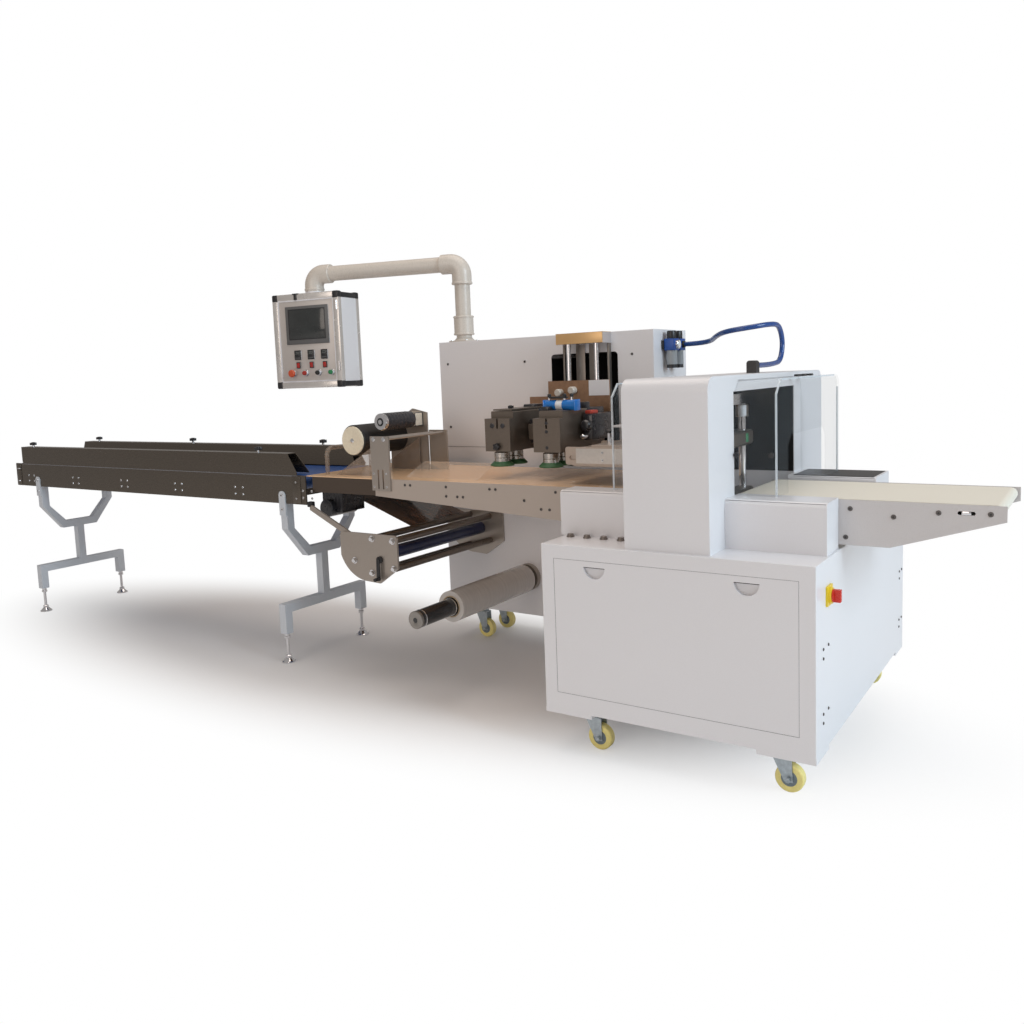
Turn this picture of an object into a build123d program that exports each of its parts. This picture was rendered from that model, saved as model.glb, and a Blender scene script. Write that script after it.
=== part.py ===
"""Horizontal flow wrapper with a box-motion end sealer, bottom film feed and a swinging operator box.

X runs with the product, from the infeed end to the outfeed end. Y runs from the
operator's side to the back, and Z is up. The origin is on the floor, at the middle of the footprint.
"""
from math import cos, radians, sin, tan
import os

from build123d import *

os.makedirs("parts", exist_ok=True)

# Main sizes along the line, in millimetres
infeed_length = 2664
table_lead = 305
tower_length = 1217
cabinet_length = 982
outfeed_overhang = 480
machine_depth = 1370
line_y = -146
line_half_width = 238
deck_height = 780
belt_rise = 164
belt_height = deck_height + belt_rise
sheet = 4
sheet_bend = 3
skin_gap = 1
seat_gap = 0.3

# Base cabinet
cabinet_underside = 165
cabinet_foot = 15
cabinet_foot_length = 190
cabinet_foot_depth = 150
panel_side_margin = 52
panel_top_margin = 50
panel_bottom_margin = 66
panel_depth = 20
panel_pull_radius = 42
panel_pull_drop = 22
panel_pull_inset = 165

# Rear tower
tower_setback = 226
tower_underside = 180
tower_seam_rise = 86
tower_seam = belt_height + tower_seam_rise
tower_cover_height = 541
tower_height = tower_seam + tower_cover_height
tower_cover_sheet = 3
tower_foot_length = 200
tower_foot_depth = 130
window_left = 681
window_width = 356
window_bottom_rise = 20
window_top_drop = 91
window_corner = 18
window_depth = 280

# Casters
wheel_radius = 48
wheel_width = 34
wheel_rounding = 7
caster_trail = 30
caster_inset_x = 142
caster_inset_y = 106
tower_caster_inset = 90
caster_plate_side = 90
caster_plate_thickness = 6
swivel_radius = 32
swivel_thickness = 20
fork_thickness = 4
fork_gap = 2
axle_radius = 6
axle_play = 0.1
pedal_width = 30
pedal_length = 24

# Main switch and deck buttons
switch_from_front = 140
switch_height = 661
switch_half = 32
switch_collar_radius = 26
switch_knob_radius = 20
button_pitch = 70
button_radius = 15
button_first = 38
button_from_front = 152

# End sealer
jaw_column_radius = 15
jaw_play = 0.1
jaw_width = 70
jaw_height = 60
jaw_end_margin = 26
lower_jaw_drop = 94
upper_jaw_rise = 136
jaw_headroom = 106
crosshead_thickness = 40
crosshead_clearance = 20
jaw_carriage_travel = 50
jaw_shoe_half = 60
jaw_shoe_width = 48
jaw_shoe_height = 26
jaw_rail_spare = 2
jaw_rail_height = 12
jaw_rail_width = 28
jaw_cylinder_radius = 26
jaw_cylinder_length = 60

# Gantry over the end sealer
gantry_length = 308
gantry_from_end = 979
gantry_front_setback = 20
gantry_corner = 48
gantry_beam = 56
opening_front_margin = 46
opening_rear_margin = 178

# Clear guards on both sides of the gantry
guard_length = 155
guard_wall = 6
guard_corner = 50
guard_rear_overlap = 97
guard_top_drop = 17
guard_exit_rise = 70
guard_exit_front_margin = 59
guard_exit_rear_margin = 73
guard_exit_chamfer = 35

# Deck covers beside the belts
deck_cover_height = 170
deck_cover_corner = 16
outfeed_cover_length = 336
outfeed_cover_width = 143
infeed_cover_length = 349
infeed_cover_width = 118
rear_cover_gap = 88
rear_cover_width = 237

# Outfeed conveyor
outfeed_belt_gap = 120
side_plate = 6
outfeed_plate_depth = 150
outfeed_tip_depth = 48
outfeed_flat_length = 150
outfeed_roller_radius = 18
belt_thickness = 3
belt_side_gap = 10
bed_thickness = 8
bed_drop = 5
bed_margin = 60
cross_rod_radius = 10
cross_rod_rise = 30
bracket_width = 60
bracket_depth = 40

# Infeed conveyor
infeed_plate_depth = 143
infeed_roller_radius = 32
infeed_bed_margin = 90
infeed_rib_pitch = 550
infeed_rib_first = 200
infeed_rib_size = 40
rail_height = 106
rail_skirt = 95
rail_sheet = 3
rail_overhang = 6
rail_top_width = 52
rail_slope = 26
rail_start = 92
rail_end = 52
rail_bevel = 60
rail_bracket_pitch = 950
rail_bracket_first = 250
rail_bracket_width = 30

# Stands under the infeed conveyor
stand_tube = 44
stand_outreach = 24
stand_first = 249
stand_second = 2496
stand_arm_drop = 130
stand_tab_rise = 62
stand_tab_drop = 60
foot_spread = 266
foot_drop = 150
foot_beam_height = 300
fork_height = 560
fork_half = 104
foot_pad_radius = 34
foot_pad_height = 24
foot_rod_radius = 8

# Sealing table between infeed and gantry
table_plate_lead = 147
table_plate_depth_start = 78
table_plate_depth_end = 140
table_rear_margin = 134
table_sheet = 4
table_rim = 8
table_bar_width = 50
table_bar_height = 40
table_bar_drop = 24
table_end_gap = 115

# Film arch over the table
arch_offset = 139
arch_width = 108
arch_rise = 194
arch_drop = 52
arch_plate = 10
arch_rear_inset = 52
arch_rod_radius = 6
arch_slot_width = 8
arch_slot_length = 90

# Film former and the rubber drum above it
former_lead = 175
former_length = 270
former_rise = 156
former_plate = 4
former_margin = 84
former_tube_radius = 11
former_tube_rise = 128
former_tube_lead = 60
former_tube_bend = 40
drum_lead = 60
drum_rise = 165
drum_radius = 74
drum_disc_radius = 67
drum_disc_thickness = 6
drum_length = 316
drum_stand_plate = 10
motor_offset = 142
motor_lift = 85
motor_radius = 40
motor_length = 270
gearbox_length = 60
gearbox_half = 34

# Servo under the table
servo_gap = 55
servo_length = 130
servo_width = 150
servo_height = 110
servo_front_margin = 54
servo_fan_radius = 42

# Film unwinding
film_axis_offset = 509
film_axis_z = 377
shaft_radius = 38
shaft_neck = 30
shaft_neck_play = 0.1
shaft_nose = 248
shaft_flange_radius = 68
shaft_seat = 30
roll_front_margin = 181
roll_length = 589
roll_radius = 70
core_radius = 44
core_ring = 30
feeder_lead = 37
feeder_top = 700
feeder_margin = 56
feeder_plate = 10
feeder_width = 345
feeder_depth = 225
feeder_rear_shift = 60
feeder_roller_radius = 16
feeder_drive_radius = 30
feeder_slot_radius = 34
feeder_slot_width = 14
feeder_corner = 18
stud_radius = 10
stud_length = 12
bar_width = 28
bar_rise = 125
bar_reach = 270

# Film in the machine: the web from the unwinder and the folded tent on the table
web_thickness = 1
web_reach = 396
web_rise = 141
tent_half_width = 140
tent_height = 60

# Sealing unit hanging from the tower
slide_offset = 884
slide_column_spacing = 146
slide_column_radius = 11
slide_column_play = 0.1
slide_column_setback = 56
slide_top_width = 243
slide_top_depth = 88
slide_top_thickness = 50
slide_foot_drop = 60
slide_foot_thickness = 30
slide_rib_width = 46
slide_rib_depth = 12
slide_cheek_width = 8
slide_cheek_depth = 26
carriage_height = 120
carriage_depth = 68
carriage_width = 220
carriage_clearance = 36
shelf_depth = 56
shelf_height = 60
head_offsets = (-155, 93)
head_plate_width = 130
head_plate_height = 142
head_plate_thickness = 40
head_body_width = 115
head_body_rise = 30
head_reach = 84
head_rise = 120
wheel_disc_radius = 52
wheel_disc_rise = 56
wheel_disc_thickness = 14
wheel_hub_radius = 34
nip_gap = 2
back_plate_lead = 271
back_plate_width = 428
back_plate_height = 123
back_plate_thickness = 8
upper_plate_lead = 166
upper_plate_height = 71
cylinder_radius = 21
cylinder_length = 148

# Pressing belt unit ahead of the end sealer
press_lead = 110
press_gap = 5
press_rise = 80
press_height = 72
press_half_width = 154
press_corner = 10
press_slot_length = 64
press_slot_height = 18
press_belt_drop = 6
press_block_lead = 116

# Operator box and its arm
pole_offset = 31
pole_from_rear = 185
pole_flange = 124
pole_flange_thickness = 12
pipe_radius = 41
socket_radius = 52
coupling_length = 100
coupling_rise = 30
arm_rise = 419
arm_length = 886
arm_turn = 16
elbow_radius = 62
elbow_reach = 105
box_drop = 108
box_width = 440
box_height = 520
box_depth = 200
box_corner = 22
box_frame = 40
box_recess = 5
box_collar = 14
box_yaw = 10
screen_width = 284
screen_height = 208
screen_bottom = 243
screen_shift = 8
screen_depth = 5
control_pitch = 89
control_width = 40
control_height = 50
control_bottom = 158
control_depth = 9
control_shift = 23
rocker_width = 20
rocker_height = 28
rocker_bottom = 112
rocker_depth = 8
switch_pitch = 87
switch_radius = 11
switch_depth = 22
switch_level = 82
switch_shift = 25

# Air preparation unit and its hose to the gantry
air_drop = 70
air_from_rear = 215
air_plate = 12
air_body = 48
air_bowl_radius = 24
air_bowl_length = 80
air_spread = 35
fitting_length = 12
hose_radius = 11
gland_x_offset = 28
gland_margin = 326
gland_rise = 30
gland_nut = 15

# Worked-out positions
line_length = infeed_length + table_lead + tower_length + cabinet_length + outfeed_overhang
end_x = line_length / 2
infeed_left = -end_x
infeed_right = infeed_left + infeed_length
tower_left = infeed_right + table_lead
cabinet_left = tower_left + tower_length
cabinet_right = cabinet_left + cabinet_length
front_y = -machine_depth / 2
rear_y = machine_depth / 2
plate_front = line_y - line_half_width
plate_rear = line_y + line_half_width
belt_half_width = line_half_width - side_plate - belt_side_gap
tower_front = plate_rear + tower_setback
lower_jaw_z = belt_height - lower_jaw_drop
upper_jaw_z = belt_height + upper_jaw_rise
crosshead_z = upper_jaw_z + jaw_height + jaw_headroom
opening_top = crosshead_z + crosshead_thickness + crosshead_clearance
gantry_height = opening_top + gantry_beam
gantry_x = end_x - gantry_from_end
gantry_left = gantry_x - gantry_length / 2
gantry_right = gantry_x + gantry_length / 2
gantry_front = front_y + gantry_front_setback
opening_front = plate_front - opening_front_margin
opening_rear = plate_rear + opening_rear_margin
guard_front = opening_front
guard_rear = opening_rear + guard_rear_overlap
guard_top = gantry_height - guard_top_drop
cover_top = deck_height + deck_cover_height
outfeed_start = gantry_x + outfeed_belt_gap
table_end = gantry_x - table_end_gap
slide_x = tower_left + slide_offset
film_axis_x = tower_left + film_axis_offset
feeder_x = tower_left - feeder_lead
feeder_front = plate_front - feeder_margin
arm_height = tower_height + arm_rise
pole_x = tower_left + pole_offset
pole_y = rear_y - pole_from_rear
arm_direction = (-cos(radians(arm_turn)), -sin(radians(arm_turn)), 0)
box_x = pole_x + arm_direction[0] * arm_length
box_y = pole_y + arm_direction[1] * arm_length
box_top = arm_height - box_drop
box_bottom = box_top - box_height


def save(part, label):
    """Writes one finished piece under its own name."""
    part.label = label
    export_step(part, f"parts/{label}.step")


def block(x0, x1, y0, y1, z0, z1, mode=Mode.ADD):
    """A plain bar or plate between two corners, inside the open part."""
    with Locations(((x0 + x1) / 2, (y0 + y1) / 2, (z0 + z1) / 2)):
        Box(x1 - x0, y1 - y0, z1 - z0, mode=mode)


def rod(start, axis, radius, length, mode=Mode.ADD):
    """A round bar of the given length from a start point along an axis, inside the open part."""
    with Locations(Plane(origin=start, z_dir=axis)):
        Cylinder(radius, length, align=(Align.CENTER, Align.CENTER, Align.MIN), mode=mode)


def front_plane(y):
    """The XZ plane at a distance from the line, seen from the operator's side."""
    return Plane(origin=(0, y, 0), x_dir=(1, 0, 0), z_dir=(0, -1, 0))


def end_plane(x):
    """The YZ plane at a place along the line, seen from the outfeed end."""
    return Plane(origin=(x, 0, 0), x_dir=(0, 1, 0), z_dir=(1, 0, 0))


def plate_on(points, y, thickness, mode=Mode.ADD):
    """A flat plate across the line's depth from its outline, inside the open part."""
    with BuildSketch(front_plane(y)) as outline:
        with BuildLine():
            Polyline(*points, close=True)
        make_face()
    extrude(outline.sketch, amount=-thickness, mode=mode)


# Where the casters stand: the plate's centre and the height of its upper face
caster_top = cabinet_underside - cabinet_foot
tower_caster_top = tower_underside - cabinet_foot
base_casters = {
    "front_left": (cabinet_left + caster_inset_x, front_y + caster_inset_y, caster_top),
    "front_right": (cabinet_right - caster_inset_x, front_y + caster_inset_y, caster_top),
    "rear_left": (cabinet_left + caster_inset_x, rear_y - caster_inset_y, caster_top),
    "rear_right": (cabinet_right - caster_inset_x, rear_y - caster_inset_y, caster_top),
}
tower_casters = {
    "tower_front": (tower_left + caster_inset_x, tower_front + tower_caster_inset, tower_caster_top),
    "tower_rear": (tower_left + caster_inset_x, rear_y - tower_caster_inset, tower_caster_top),
}


def caster_plates(places):
    """Square welded plates that the casters bolt to, inside the open part."""
    half = caster_plate_side / 2
    for x, y, top in places.values():
        block(x - half, x + half, y - half, y + half, top - caster_plate_thickness, top)


# Base cabinet: a closed box of folded sheet with a rebate for the front panel and a foot at each corner
panel_left = cabinet_left + panel_side_margin
panel_right = cabinet_right - panel_side_margin
panel_bottom = cabinet_underside + panel_bottom_margin
panel_top = deck_height - panel_top_margin
with BuildPart() as base_cabinet:
    block(cabinet_left, cabinet_right, front_y, rear_y, cabinet_underside, deck_height)
    fillet(base_cabinet.edges().filter_by(Axis.Z), sheet_bend)
    fillet(base_cabinet.edges().group_by(Axis.Z)[-1], sheet_bend)
    block(cabinet_left + sheet, cabinet_right - sheet, front_y + panel_depth + sheet, rear_y - sheet,
          cabinet_underside + sheet, deck_height - sheet, Mode.SUBTRACT)
    block(panel_left, panel_right, front_y - 1, front_y + panel_depth, panel_bottom, panel_top,
          Mode.SUBTRACT)
    for x0, x1 in ((cabinet_left, cabinet_left + cabinet_foot_length),
                   (cabinet_right - cabinet_foot_length, cabinet_right)):
        for y0, y1 in ((front_y, front_y + cabinet_foot_depth), (rear_y - cabinet_foot_depth, rear_y)):
            block(x0, x1, y0, y1, cabinet_underside - cabinet_foot, cabinet_underside + sheet)
    caster_plates(base_casters)
save(base_cabinet.part, "base_cabinet")

# Front panel: a lift-off pan with two half-moon finger pulls
with BuildPart() as front_panel:
    block(panel_left + skin_gap, panel_right - skin_gap, front_y, front_y + panel_depth,
          panel_bottom + skin_gap, panel_top - skin_gap)
    fillet(front_panel.edges().group_by(Axis.Y)[0], sheet_bend / 2)
    for pull_x in (panel_left + panel_pull_inset, panel_right - panel_pull_inset):
        with BuildSketch(Plane(origin=(pull_x, front_y, panel_top - panel_pull_drop),
                               x_dir=(1, 0, 0), z_dir=(0, -1, 0))):
            Circle(panel_pull_radius)
            with Locations((0, panel_pull_radius)):
                Rectangle(3 * panel_pull_radius, 2 * panel_pull_radius, mode=Mode.SUBTRACT)
        extrude(amount=-(panel_depth - sheet), mode=Mode.SUBTRACT)
save(front_panel.part, "front_panel")

# Rear tower: a closed cabinet with a lined pocket behind the window of the sealing unit's slide
window_x0 = tower_left + window_left
window_x1 = window_x0 + window_width
window_z0 = tower_seam + window_bottom_rise
window_z1 = tower_height - window_top_drop
tower_right = cabinet_left - seat_gap
with BuildPart() as tower_body:
    block(tower_left, tower_right, tower_front, rear_y, tower_underside, tower_height)
    fillet(tower_body.edges().filter_by(Axis.Z), sheet_bend)
    block(tower_left - 1, tower_right + 1, tower_front - 1, tower_front + tower_cover_sheet,
          tower_seam, tower_height + 1, Mode.SUBTRACT)
    block(tower_left + sheet, tower_right - sheet, tower_front + tower_cover_sheet + sheet,
          rear_y - sheet, tower_underside + sheet, tower_height - sheet, Mode.SUBTRACT)
    block(window_x0 - sheet, window_x1 + sheet, tower_front + tower_cover_sheet,
          tower_front + window_depth + sheet, window_z0 - sheet, window_z1 + sheet)
    block(window_x0, window_x1, tower_front, tower_front + window_depth, window_z0, window_z1,
          Mode.SUBTRACT)
    for y0, y1 in ((tower_front, tower_front + tower_foot_depth), (rear_y - tower_foot_depth, rear_y)):
        block(tower_left, tower_left + tower_foot_length, y0, y1, tower_underside - cabinet_foot,
              tower_underside + sheet)
    caster_plates(tower_casters)
save(tower_body.part, "tower_body")

# Tower cover: the upper front sheet with its rounded window
with BuildPart() as tower_cover:
    with BuildSketch(front_plane(tower_front)):
        with Locations(((tower_left + tower_right) / 2, (tower_seam + tower_height) / 2)):
            Rectangle(tower_right - tower_left - 2 * skin_gap, tower_height - tower_seam - 2 * skin_gap)
        with Locations(((window_x0 + window_x1) / 2, (window_z0 + window_z1) / 2)):
            RectangleRounded(window_width, window_z1 - window_z0, window_corner, mode=Mode.SUBTRACT)
    extrude(amount=-tower_cover_sheet)
save(tower_cover.part, "tower_cover")

# Casters: swivelling fork with its brake pedal, and wheel, under each welded plate
for name, (x, y, top) in (base_casters | tower_casters).items():
    fork_top = top - caster_plate_thickness - seat_gap
    crown = fork_top - swivel_thickness
    fork_inner = wheel_width / 2 + fork_gap
    fork_outer = fork_inner + fork_thickness
    wheel_x = x + caster_trail
    with BuildPart() as caster_fork:
        rod((x, y, crown), (0, 0, 1), swivel_radius, swivel_thickness)
        block(x - 26, wheel_x + 10, y - fork_outer, y + fork_outer, crown - fork_thickness, crown)
        for side in (-fork_outer, fork_inner):
            plate_on([(x - 26, crown), (wheel_x + 10, crown), (wheel_x + 14, wheel_radius - 10),
                      (wheel_x - 14, wheel_radius - 10)], y + side, fork_thickness)
        rod((wheel_x, y - fork_outer - fork_thickness, wheel_radius), (0, 1, 0), axle_radius,
            2 * (fork_outer + fork_thickness))
        block(x - 26 - pedal_length, x - 26, y - pedal_width / 2, y + pedal_width / 2,
              crown - fork_thickness, crown)
    save(caster_fork.part, f"caster_fork_{name}")
    with BuildPart() as caster_wheel:
        rod((wheel_x, y - wheel_width / 2, wheel_radius), (0, 1, 0), wheel_radius, wheel_width)
        fillet(caster_wheel.edges().filter_by(GeomType.CIRCLE), wheel_rounding)
        rod((wheel_x, y - wheel_width / 2, wheel_radius), (0, 1, 0), axle_radius + axle_play,
            wheel_width, Mode.SUBTRACT)
    save(caster_wheel.part, f"caster_wheel_{name}")

# Main switch on the outfeed end of the cabinet
switch_y = front_y + switch_from_front
plate_depth = 6
collar_depth = 8
with BuildPart() as switch_plate:
    block(cabinet_right, cabinet_right + plate_depth, switch_y - switch_half, switch_y + switch_half,
          switch_height - switch_half, switch_height + switch_half)
    fillet(switch_plate.edges().filter_by(Axis.X), sheet_bend)
    rod((cabinet_right + plate_depth, switch_y, switch_height), (1, 0, 0), switch_collar_radius,
        collar_depth)
save(switch_plate.part, "switch_plate")
knob_x = cabinet_right + plate_depth + collar_depth + seat_gap
with BuildPart() as switch_knob:
    rod((knob_x, switch_y, switch_height), (1, 0, 0), switch_knob_radius, 6)
    block(knob_x, knob_x + 26, switch_y - 8, switch_y + 8, switch_height - switch_knob_radius,
          switch_height + switch_knob_radius)
    fillet(switch_knob.edges().group_by(Axis.X)[-1], 3)
save(switch_knob.part, "switch_knob")

# Row of round push buttons on the deck
with BuildPart() as deck_buttons:
    for number in range(4):
        button_x = cabinet_left + button_first + number * button_pitch
        rod((button_x, front_y + button_from_front, deck_height), (0, 0, 1), button_radius, 5)
        rod((button_x, front_y + button_from_front, deck_height + 5), (0, 0, 1), button_radius - 3, 8)
    fillet(deck_buttons.edges().group_by(Axis.Z)[-1], 3)
save(deck_buttons.part, "deck_buttons")


def portal_section(x, inset):
    """The gantry seen from the end: two legs and a beam with rounded shoulders, drawn inside its skin."""
    floor = deck_height - inset
    with BuildSketch(end_plane(x)) as section:
        with Locations(((gantry_front + rear_y) / 2, (floor + gantry_height - inset) / 2)):
            Rectangle(rear_y - gantry_front - 2 * inset, gantry_height - inset - floor)
        fillet(vertices().group_by(Axis.Y)[-1], gantry_corner - inset)
        with Locations(((opening_front + opening_rear) / 2, (floor + opening_top + inset) / 2)):
            Rectangle(opening_rear - opening_front + 2 * inset, opening_top + inset - floor,
                      mode=Mode.SUBTRACT)
    return section.sketch


# Gantry: a sheet portal over the end sealer, open underneath where it stands on the deck
with BuildPart() as gantry:
    extrude(portal_section(gantry_left, 0), amount=gantry_length)
    extrude(portal_section(gantry_left + sheet, sheet), amount=gantry_length - 2 * sheet,
            mode=Mode.SUBTRACT)
save(gantry.part, "gantry")


def guard_section(x, inset):
    """The hood seen from the end: bevelled shoulder to the front, rounded one to the rear."""
    with BuildSketch(end_plane(x)) as section:
        with Locations(((guard_front + guard_rear) / 2, (cover_top + guard_top) / 2 - inset)):
            Rectangle(guard_rear - guard_front - 2 * inset, guard_top - cover_top)
        shoulders = vertices().group_by(Axis.Y)[-1].sort_by(Axis.X)
        chamfer(shoulders[0], guard_corner - inset)
        fillet(vertices().group_by(Axis.Y)[-1].sort_by(Axis.X)[-1], guard_corner - inset)
    return section.sketch


def clear_guard(x, direction):
    """A clear hood against the gantry, with a chamfered way through its end wall for the product."""
    exit_front = plate_front + guard_exit_front_margin
    exit_rear = plate_rear + guard_exit_rear_margin
    exit_top = upper_jaw_z + guard_exit_rise
    with BuildPart() as guard:
        extrude(guard_section(x, 0), amount=direction * guard_length)
        extrude(guard_section(x, guard_wall), amount=direction * (guard_length - guard_wall),
                mode=Mode.SUBTRACT)
        with BuildSketch(end_plane(x)):
            with Locations(((exit_front + exit_rear) / 2, exit_top / 2)):
                Rectangle(exit_rear - exit_front, exit_top)
            chamfer(vertices().group_by(Axis.Y)[-1], guard_exit_chamfer)
        extrude(amount=direction * (guard_length + 1), mode=Mode.SUBTRACT)
    return guard.part


with BuildPart() as clear_guards:
    add(clear_guard(gantry_right, 1))
    add(clear_guard(gantry_left, -1))
save(clear_guards.part, "clear_guards")


def deck_cover(x0, x1, y0, y1):
    """A folded cover box on the deck, open underneath, with a soft edge towards the operator."""
    with BuildPart() as cover:
        block(x0, x1, y0, y1, deck_height, cover_top)
        top_edges = cover.edges().filter_by(Axis.X).group_by(Axis.Z)[-1]
        fillet(top_edges.sort_by(Axis.Y)[0], deck_cover_corner)
        block(x0 + sheet, x1 - sheet, y0 + sheet, y1 - sheet, deck_height - 1, cover_top - sheet,
              Mode.SUBTRACT)
    return cover.part


rear_cover_y = plate_rear + rear_cover_gap
with BuildPart() as deck_covers:
    add(deck_cover(gantry_right + seat_gap, gantry_right + outfeed_cover_length,
                   plate_front - outfeed_cover_width, plate_front - seat_gap))
    add(deck_cover(gantry_right + seat_gap, gantry_right + outfeed_cover_length,
                   rear_cover_y, rear_cover_y + rear_cover_width))
    add(deck_cover(gantry_left - infeed_cover_length, gantry_left - seat_gap,
                   plate_front - infeed_cover_width, plate_front - seat_gap))
save(deck_covers.part, "deck_covers")

# Outfeed conveyor: tapered side plates, slider bed, cross rods and brackets on the deck
outfeed_low = belt_height - outfeed_plate_depth
outfeed_outline = [
    (outfeed_start, belt_height), (end_x, belt_height), (end_x, belt_height - outfeed_tip_depth),
    (cabinet_right + outfeed_flat_length, outfeed_low), (outfeed_start, outfeed_low),
]
inner_front = plate_front + side_plate
inner_rear = plate_rear - side_plate
bed_top = belt_height - bed_drop
with BuildPart() as outfeed_frame:
    plate_on(outfeed_outline, plate_front, side_plate)
    plate_on(outfeed_outline, inner_rear, side_plate)
    with BuildSketch(front_plane(plate_front)):
        with Locations((end_x - 110, belt_height - 26)):
            SlotOverall(50, 12)
    extrude(amount=-side_plate, mode=Mode.SUBTRACT)
    block(outfeed_start + bed_margin, end_x - bed_margin, inner_front, inner_rear,
          bed_top - bed_thickness, bed_top)
    for x in (outfeed_start + 40, cabinet_right - 40, cabinet_right + outfeed_flat_length):
        rod((x, inner_front, outfeed_low + cross_rod_rise), (0, 1, 0), cross_rod_radius,
            inner_rear - inner_front)
    for x0 in (outfeed_start + 20, cabinet_right - 90):
        for y0 in (inner_front, inner_rear - bracket_depth):
            block(x0, x0 + bracket_width, y0, y0 + bracket_depth, deck_height,
                  outfeed_low + cross_rod_rise)
save(outfeed_frame.part, "outfeed_frame")


def belt_loop(x0, x1, radius, label):
    """A flat belt as one closed loop round its two end rollers."""
    with BuildPart() as belt:
        with BuildSketch(front_plane(line_y)):
            with Locations(((x0 + x1) / 2, belt_height - radius)):
                SlotOverall(x1 - x0, 2 * radius)
                SlotOverall(x1 - x0 - 2 * belt_thickness, 2 * (radius - belt_thickness),
                            mode=Mode.SUBTRACT)
        extrude(amount=belt_half_width, both=True)
    save(belt.part, label)


def end_rollers(x0, x1, radius):
    """The two rollers inside a belt loop, with axle ends up to the side plates, inside the open part."""
    for x in (x0 + radius, x1 - radius):
        rod((x, line_y - belt_half_width, belt_height - radius), (0, 1, 0),
            radius - belt_thickness - seat_gap, 2 * belt_half_width)
        rod((x, inner_front, belt_height - radius), (0, 1, 0), 8, inner_rear - inner_front)


outfeed_loop = (outfeed_start + 6, end_x - 8, outfeed_roller_radius + belt_thickness)
infeed_loop = (infeed_left + 10, infeed_right - 8, infeed_roller_radius + belt_thickness)
belt_loop(*outfeed_loop, "outfeed_belt")
belt_loop(*infeed_loop, "infeed_belt")
with BuildPart() as belt_rollers:
    end_rollers(*outfeed_loop)
    end_rollers(*infeed_loop)
save(belt_rollers.part, "belt_rollers")

# Infeed conveyor: deep steel side plates with a slider bed and cross ribs
infeed_low = belt_height - infeed_plate_depth
rib_count = int((infeed_length - infeed_rib_first - infeed_rib_size) // infeed_rib_pitch) + 1
with BuildPart() as infeed_frame:
    for y0 in (plate_front, inner_rear):
        block(infeed_left, infeed_right, y0, y0 + side_plate, infeed_low, belt_height)
    block(infeed_left + infeed_bed_margin, infeed_right - infeed_bed_margin, inner_front, inner_rear,
          bed_top - bed_thickness, bed_top)
    for step in range(rib_count):
        x = infeed_left + infeed_rib_first + step * infeed_rib_pitch
        block(x, x + infeed_rib_size, inner_front, inner_rear, infeed_low + 10,
              infeed_low + 10 + infeed_rib_size)
save(infeed_frame.part, "infeed_frame")


def infeed_rail(outer_y, inward):
    """A bent steel hood along one side of the infeed: outer skirt, flat top, inner slope, bevelled end."""
    x0 = infeed_left + rail_start
    x1 = infeed_right - rail_end
    top = belt_height + rail_height
    slope_y = rail_top_width + rail_slope
    inner_low = belt_height + rail_overhang
    with BuildPart() as rail:
        with BuildSketch(Plane(origin=(x0, outer_y, 0), x_dir=(0, inward, 0), z_dir=(inward, 0, 0))):
            with BuildLine():
                Polyline((-rail_overhang, top - rail_skirt), (-rail_overhang, top),
                         (rail_top_width, top), (slope_y, inner_low),
                         (slope_y - rail_sheet, inner_low),
                         (rail_top_width - rail_sheet, top - rail_sheet),
                         (rail_sheet - rail_overhang, top - rail_sheet),
                         (rail_sheet - rail_overhang, top - rail_skirt), close=True)
            make_face()
        extrude(amount=inward * (x1 - x0))
        near, far = sorted((outer_y - inward * 2 * rail_overhang, outer_y + inward * (slope_y + 1)))
        plate_on([(x1 - rail_bevel, top + 1), (x1 + 1, top + 1), (x1 + 1, top - rail_skirt)],
                 near, far - near, Mode.SUBTRACT)
        low, high = sorted((outer_y, outer_y + inward * side_plate))
        bracket_count = int((x1 - x0 - rail_bracket_first) // rail_bracket_pitch) + 1
        for step in range(bracket_count):
            x = x0 + rail_bracket_first + step * rail_bracket_pitch
            block(x, x + rail_bracket_width, low, high, belt_height, top - rail_sheet)
    return rail.part


with BuildPart() as guard_rails:
    add(infeed_rail(plate_front, 1))
    add(infeed_rail(plate_rear, -1))
save(guard_rails.part, "infeed_guard_rails")


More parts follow.
